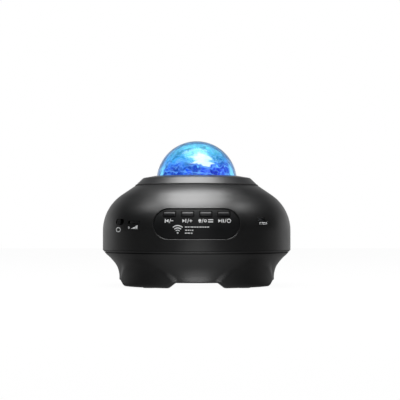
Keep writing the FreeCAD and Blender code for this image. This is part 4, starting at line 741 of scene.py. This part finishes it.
def baseRadius(turn, height, bottom):
    # turn is measured from the middle of the nearest gap, in radians
    skirtTall = base["cornerHeight"] - base["skirtFoot"]
    skirt = base["skirt"] + (height - base["skirtFoot"]) * (base["corner"] - base["skirt"]) / skirtTall
    slope = base["corner"] + height - base["cornerHeight"]
    radius = (skirt + slope) / 2 + math.hypot((skirt - slope) / 2, base["cornerSoft"]) + base["stand"]
    radius += base["proud"] * ease(height, *base["proudSpan"])
    # the foot lobes stand out below an arch over each foot
    reach = min(base["corner"] * math.sin(math.pi / 4 - abs(turn)), base["archReach"])
    arch = base["archTop"] - base["archRadius"] + math.sqrt(base["archRadius"] ** 2 - reach ** 2)
    radius += base["lobe"] * (1 - ease(height, arch - base["lobeLow"], arch + base["lobeSoft"]))
    # the lip over the gap
    lipShare = 1 - ease(base["corner"] * math.sin(abs(turn)), base["lipStart"], base["gapFoot"])
    lipDrop = max(0, 1 - (height - base["skirtFoot"]) / base["lipHeight"])
    radius += base["lip"] * lipShare * lipDrop ** base["lipCurve"]
    # the rounded lower edge
    rounding = base["footRound"] * (1 - lipShare) + base["lipRound"] * lipShare
    below = max(0, rounding - (height - bottom))
    return radius - (rounding - math.sqrt(max(rounding ** 2 - below ** 2, 0)))


pickNothing()
bpy.ops.mesh.primitive_cylinder_add(vertices=base["columns"], radius=base["corner"] * mm, depth=1,
                                    end_fill_type="NOTHING")
baseSkin = newest("baseSkin")
editStart(baseSkin, "EDGE", lambda middle, along: abs(along.z) > 0.9)
bpy.ops.mesh.subdivide(number_cuts=base["rows"] - 1)
editEnd()
for vertex in baseSkin.data.vertices:
    angle = math.atan2(vertex.co.x, -vertex.co.y)
    turn = (angle + math.pi / 4) % (math.pi / 2) - math.pi / 4
    row = round((vertex.co.z + 0.5) * base["rows"])
    bottom = gapHeight(base["corner"] * math.sin(turn))
    if row < base["tuckRows"]:  # the first rows turn in under the edge
        height, pull = bottom, base["tuck"] * (1 - row / base["tuckRows"])
    else:
        share = (row - base["tuckRows"]) / (base["rows"] - base["tuckRows"])
        height, pull = bottom + (base["top"] - bottom) * share ** base["rowCurve"], 0
    radius = (baseRadius(turn, height, bottom) - pull) * mm
    vertex.co = Vector((radius * math.sin(angle), -radius * math.cos(angle), height * mm))
baseSkin.data.update()
modify(baseSkin, "SOLIDIFY", thickness=base["thickness"] * mm, offset=-1)
smooth(baseSkin, 60)
finishPiece(baseSkin, "housing", bySlot["base_plastic"], "base_plastic")
print("base skin:", len(baseSkin.data.polygons), "faces")

# Rim bead: a narrow band between the seam and the bowl, with a fine groove left below it
bead = {"radius": 83.3, "foot": 82.7, "bottom": 30.6, "top": 31.9, "depth": 1.4, "round": 0.15,
        "sides": 288}
beadMiddle = (bead["top"] + bead["bottom"]) / 2 * mm
pickNothing()
bpy.ops.mesh.primitive_cylinder_add(vertices=bead["sides"], radius=bead["radius"] * mm,
                                    end_fill_type="NOTHING", depth=(bead["top"] - bead["bottom"]) * mm,
                                    location=(0, 0, beadMiddle))
rimBead = newest("rimBead")
applyPlace(rimBead)
editStart(rimBead, "VERT", lambda place, normal: place.z < beadMiddle)
shrink = bead["foot"] / bead["radius"]
bpy.ops.transform.resize(value=(shrink, shrink, 1), center_override=(0, 0, bead["bottom"] * mm))
editEnd()
modify(rimBead, "SOLIDIFY", thickness=bead["depth"] * mm, offset=-1)
modify(rimBead, "BEVEL", width=bead["round"] * mm, segments=2, angle_limit=math.radians(40))
smooth(rimBead, 35)
finishPiece(rimBead, "housing", bySlot["base_plastic"], "base_plastic")

# Gasket ring: soft rubber in the joint between the top ring and the deck, dark so that it also stands for
# the shadow in that joint, so it is partly painted shade
shadowGasket = {"radius": 54.3, "round": 0.75, "height": 89.7, "sides": 240, "roundSides": 16}
pickNothing()
bpy.ops.mesh.primitive_torus_add(major_segments=shadowGasket["sides"], minor_segments=shadowGasket["roundSides"],
                                 major_radius=shadowGasket["radius"] * mm, minor_radius=shadowGasket["round"] * mm,
                                 location=(0, 0, shadowGasket["height"] * mm))
deckShadowGasket = newest("deckShadowGasket")
smooth(deckShadowGasket, 60)
finishPiece(deckShadowGasket, "housing", bySlot["foot_rubber"], "foot_rubber")
print("bead and gasket made")

# Room: a white floor and a white wall behind, in metres. Glow is how white they look to the camera and
# mirror how bright they are in reflections, which changes by fade along the span: a painted gradient of
# light, darker towards the top of the wall and, on the floor, brighter behind the object
room = {"floorHalf": 6.0, "wallPlace": 1.7, "wallHalf": 3.0, "wallHeight": 1.3, "paperTone": 0.9,
        "poolPlace": -0.16, "poolWide": 0.068, "poolDeep": 0.3, "ambient": 0.03}
floorLook = {"glow": 0.97, "mirror": 0.06, "fade": 0.3, "span": (-0.06, 0.06), "pool": 0.6, "tone": 0.08}
wallLook = {"glow": 1.0, "mirror": 0.8, "fade": -0.55, "span": (-0.75, 0.25), "pool": 0, "tone": 0.9}


def paleSurface(name, look):
    # white to the camera and in reflections, and still a matt surface that takes the object's shadow
    material, tree, place = startMaterial(name)
    path = addNode(tree, "LightPath")
    # in reflections, the floor has a painted pool of light just in front of the object
    spread = addNode(tree, "Mapping", [(place, "Vector")], vector_type="TEXTURE",
                     Location=(0, room["poolPlace"], 0), Scale=(room["poolWide"], room["poolDeep"], 1))
    pool = addNode(tree, "TexGradient", [(spread.outputs[0], "Vector")], gradient_type="SPHERICAL")
    # in reflections, a painted gradient of light along the span
    along = addNode(tree, "SeparateXYZ", [(place, 0)])
    behind = addNode(tree, "MapRange", [(along.outputs[1], 0)], _1=look["span"][0], _2=look["span"][1],
                     _3=look["mirror"], _4=look["mirror"] + look["fade"])
    mirrorLevel = addNode(tree, "Math", [(pool.outputs[1], 0), (behind.outputs[0], 2)],
                          operation="MULTIPLY_ADD", _1=look["pool"])
    mirrored = addNode(tree, "Math", [(path.outputs["Is Glossy Ray"], 0), (mirrorLevel.outputs[0], 1)],
                       operation="MULTIPLY")
    # what the camera sees straight or through the clear dome
    through = addNode(tree, "Math", [(path.outputs["Is Camera Ray"], 0),
                                     (path.outputs["Is Transmission Ray"], 1)],
                      operation="ADD", use_clamp=True)
    seen = addNode(tree, "Math", [(through.outputs[0], 0)], operation="MULTIPLY", _1=look["glow"])
    share = addNode(tree, "Math", [(seen.outputs[0], 0), (mirrored.outputs[0], 1)], operation="MAXIMUM")
    # the paper's own tone: very faint patches, and a level of its own for light that bounces
    patches = addNode(tree, "TexNoise", [(place, "Vector")], Scale=0.6, Detail=2.0)
    level = addNode(tree, "MapRange", [(path.outputs["Is Camera Ray"], 0)], _1=0.0, _2=1.0,
                    _3=look["tone"], _4=room["paperTone"])
    tone = addNode(tree, "MapRange", [(patches.outputs[0], 0), (level.outputs[0], 4)], _1=-9.0, _2=0.6,
                   _3=0.0)
    matt = addNode(tree, "BsdfDiffuse", [(tone.outputs[0], "Color")])
    white = addNode(tree, "Emission", Color=(1, 1, 1, 1), Strength=1.0)
    mixed = addNode(tree, "MixShader", [(share.outputs[0], 0), (matt.outputs[0], 1), (white.outputs[0], 2)])
    addNode(tree, "OutputMaterial", [(mixed.outputs[0], "Surface")])
    return material


pickNothing()
bpy.ops.mesh.primitive_plane_add(size=room["floorHalf"] * 2, location=(0, 0, 0))
floor = newest("floor")
floor.data.materials.append(paleSurface("paper_matt_floor", floorLook))
bpy.ops.mesh.primitive_plane_add(size=2, location=(0, room["wallPlace"], room["wallHeight"] / 2),
                                 rotation=(math.pi / 2, 0, 0))
wall = newest("backdrop")
wall.scale = (room["wallHalf"], room["wallHeight"] / 2, 1)
wall.data.materials.append(paleSurface("paper_matt_wall", wallLook))

# Soft boxes: a big one overhead, a weak one at the front, one at each side, and a low strip that lights
# the lip over the front gap. Width, height, place and aim are in metres, power is in watts
softBoxes = {"topBox": (0.76, 0.86, (-0.05, -0.2, 1.0), (-0.05, -0.2, 0), 14.8),
             "frontBox": (0.9, 1.6, (0, -2.3, 0.8), (0, 0, 0.06), 4.0),
             "leftBox": (0.4, 0.3, (-0.72, -0.15, 0.95), (0, 0, 0.08), 1.3),
             "rightBox": (0.4, 0.3, (0.72, -0.15, 0.95), (0, 0, 0.08), 1.3),
             "lowStrip": (0.05, 0.01, (0, -0.118, 0.006), (0, 0, 0.006), 0.0115)}
for name, (wide, tall, place, aim, power) in softBoxes.items():
    light = bpy.data.lights.new(name, "AREA")
    light.shape = "RECTANGLE"
    light.size, light.size_y = wide, tall
    light.energy = power
    lamp = bpy.data.objects.new(name, light)
    bpy.context.scene.collection.objects.link(lamp)
    lamp.location = place
    lamp.rotation_euler = (Vector(aim) - Vector(place)).to_track_quat("-Z", "Y").to_euler()

# Air: white to the camera and through the dome, and only a trace of light on the object
world = bpy.data.worlds.new("studioAir")
bpy.context.scene.world = world
world.use_nodes = True
tree = world.node_tree
tree.nodes.clear()
path = addNode(tree, "LightPath")
seen = addNode(tree, "Math", [(path.outputs["Is Camera Ray"], 0), (path.outputs["Is Transmission Ray"], 1)],
               operation="ADD", use_clamp=True)
dim = addNode(tree, "Background", Color=(1, 1, 1, 1), Strength=room["ambient"])
bright = addNode(tree, "Background", Color=(1, 1, 1, 1), Strength=1.0)
mixed = addNode(tree, "MixShader", [(seen.outputs[0], 0), (dim.outputs[0], 1), (bright.outputs[0], 2)])
addNode(tree, "OutputWorld", [(mixed.outputs[0], "Surface")])

# Camera: almost level, a little under half the object's height, aimed a touch high and to the right
lens = {"distance": 1.2, "height": 0.057, "up": 0.943, "right": 0.142, "length": 120.3, "sensor": 36,
        "near": 0.05, "far": 50}
camera = bpy.data.cameras.new("camera")
camera.lens = lens["length"]
camera.sensor_width = lens["sensor"]
camera.clip_start, camera.clip_end = lens["near"], lens["far"]
viewer = bpy.data.objects.new("camera", camera)
bpy.context.scene.collection.objects.link(viewer)
viewer.location = (0, -lens["distance"], lens["height"])
viewer.rotation_euler = (math.radians(90 + lens["up"]), 0, -math.radians(lens["right"]))
bpy.context.scene.camera = viewer
bpy.context.scene.view_settings.view_transform = "Standard"
print("room and camera ready")
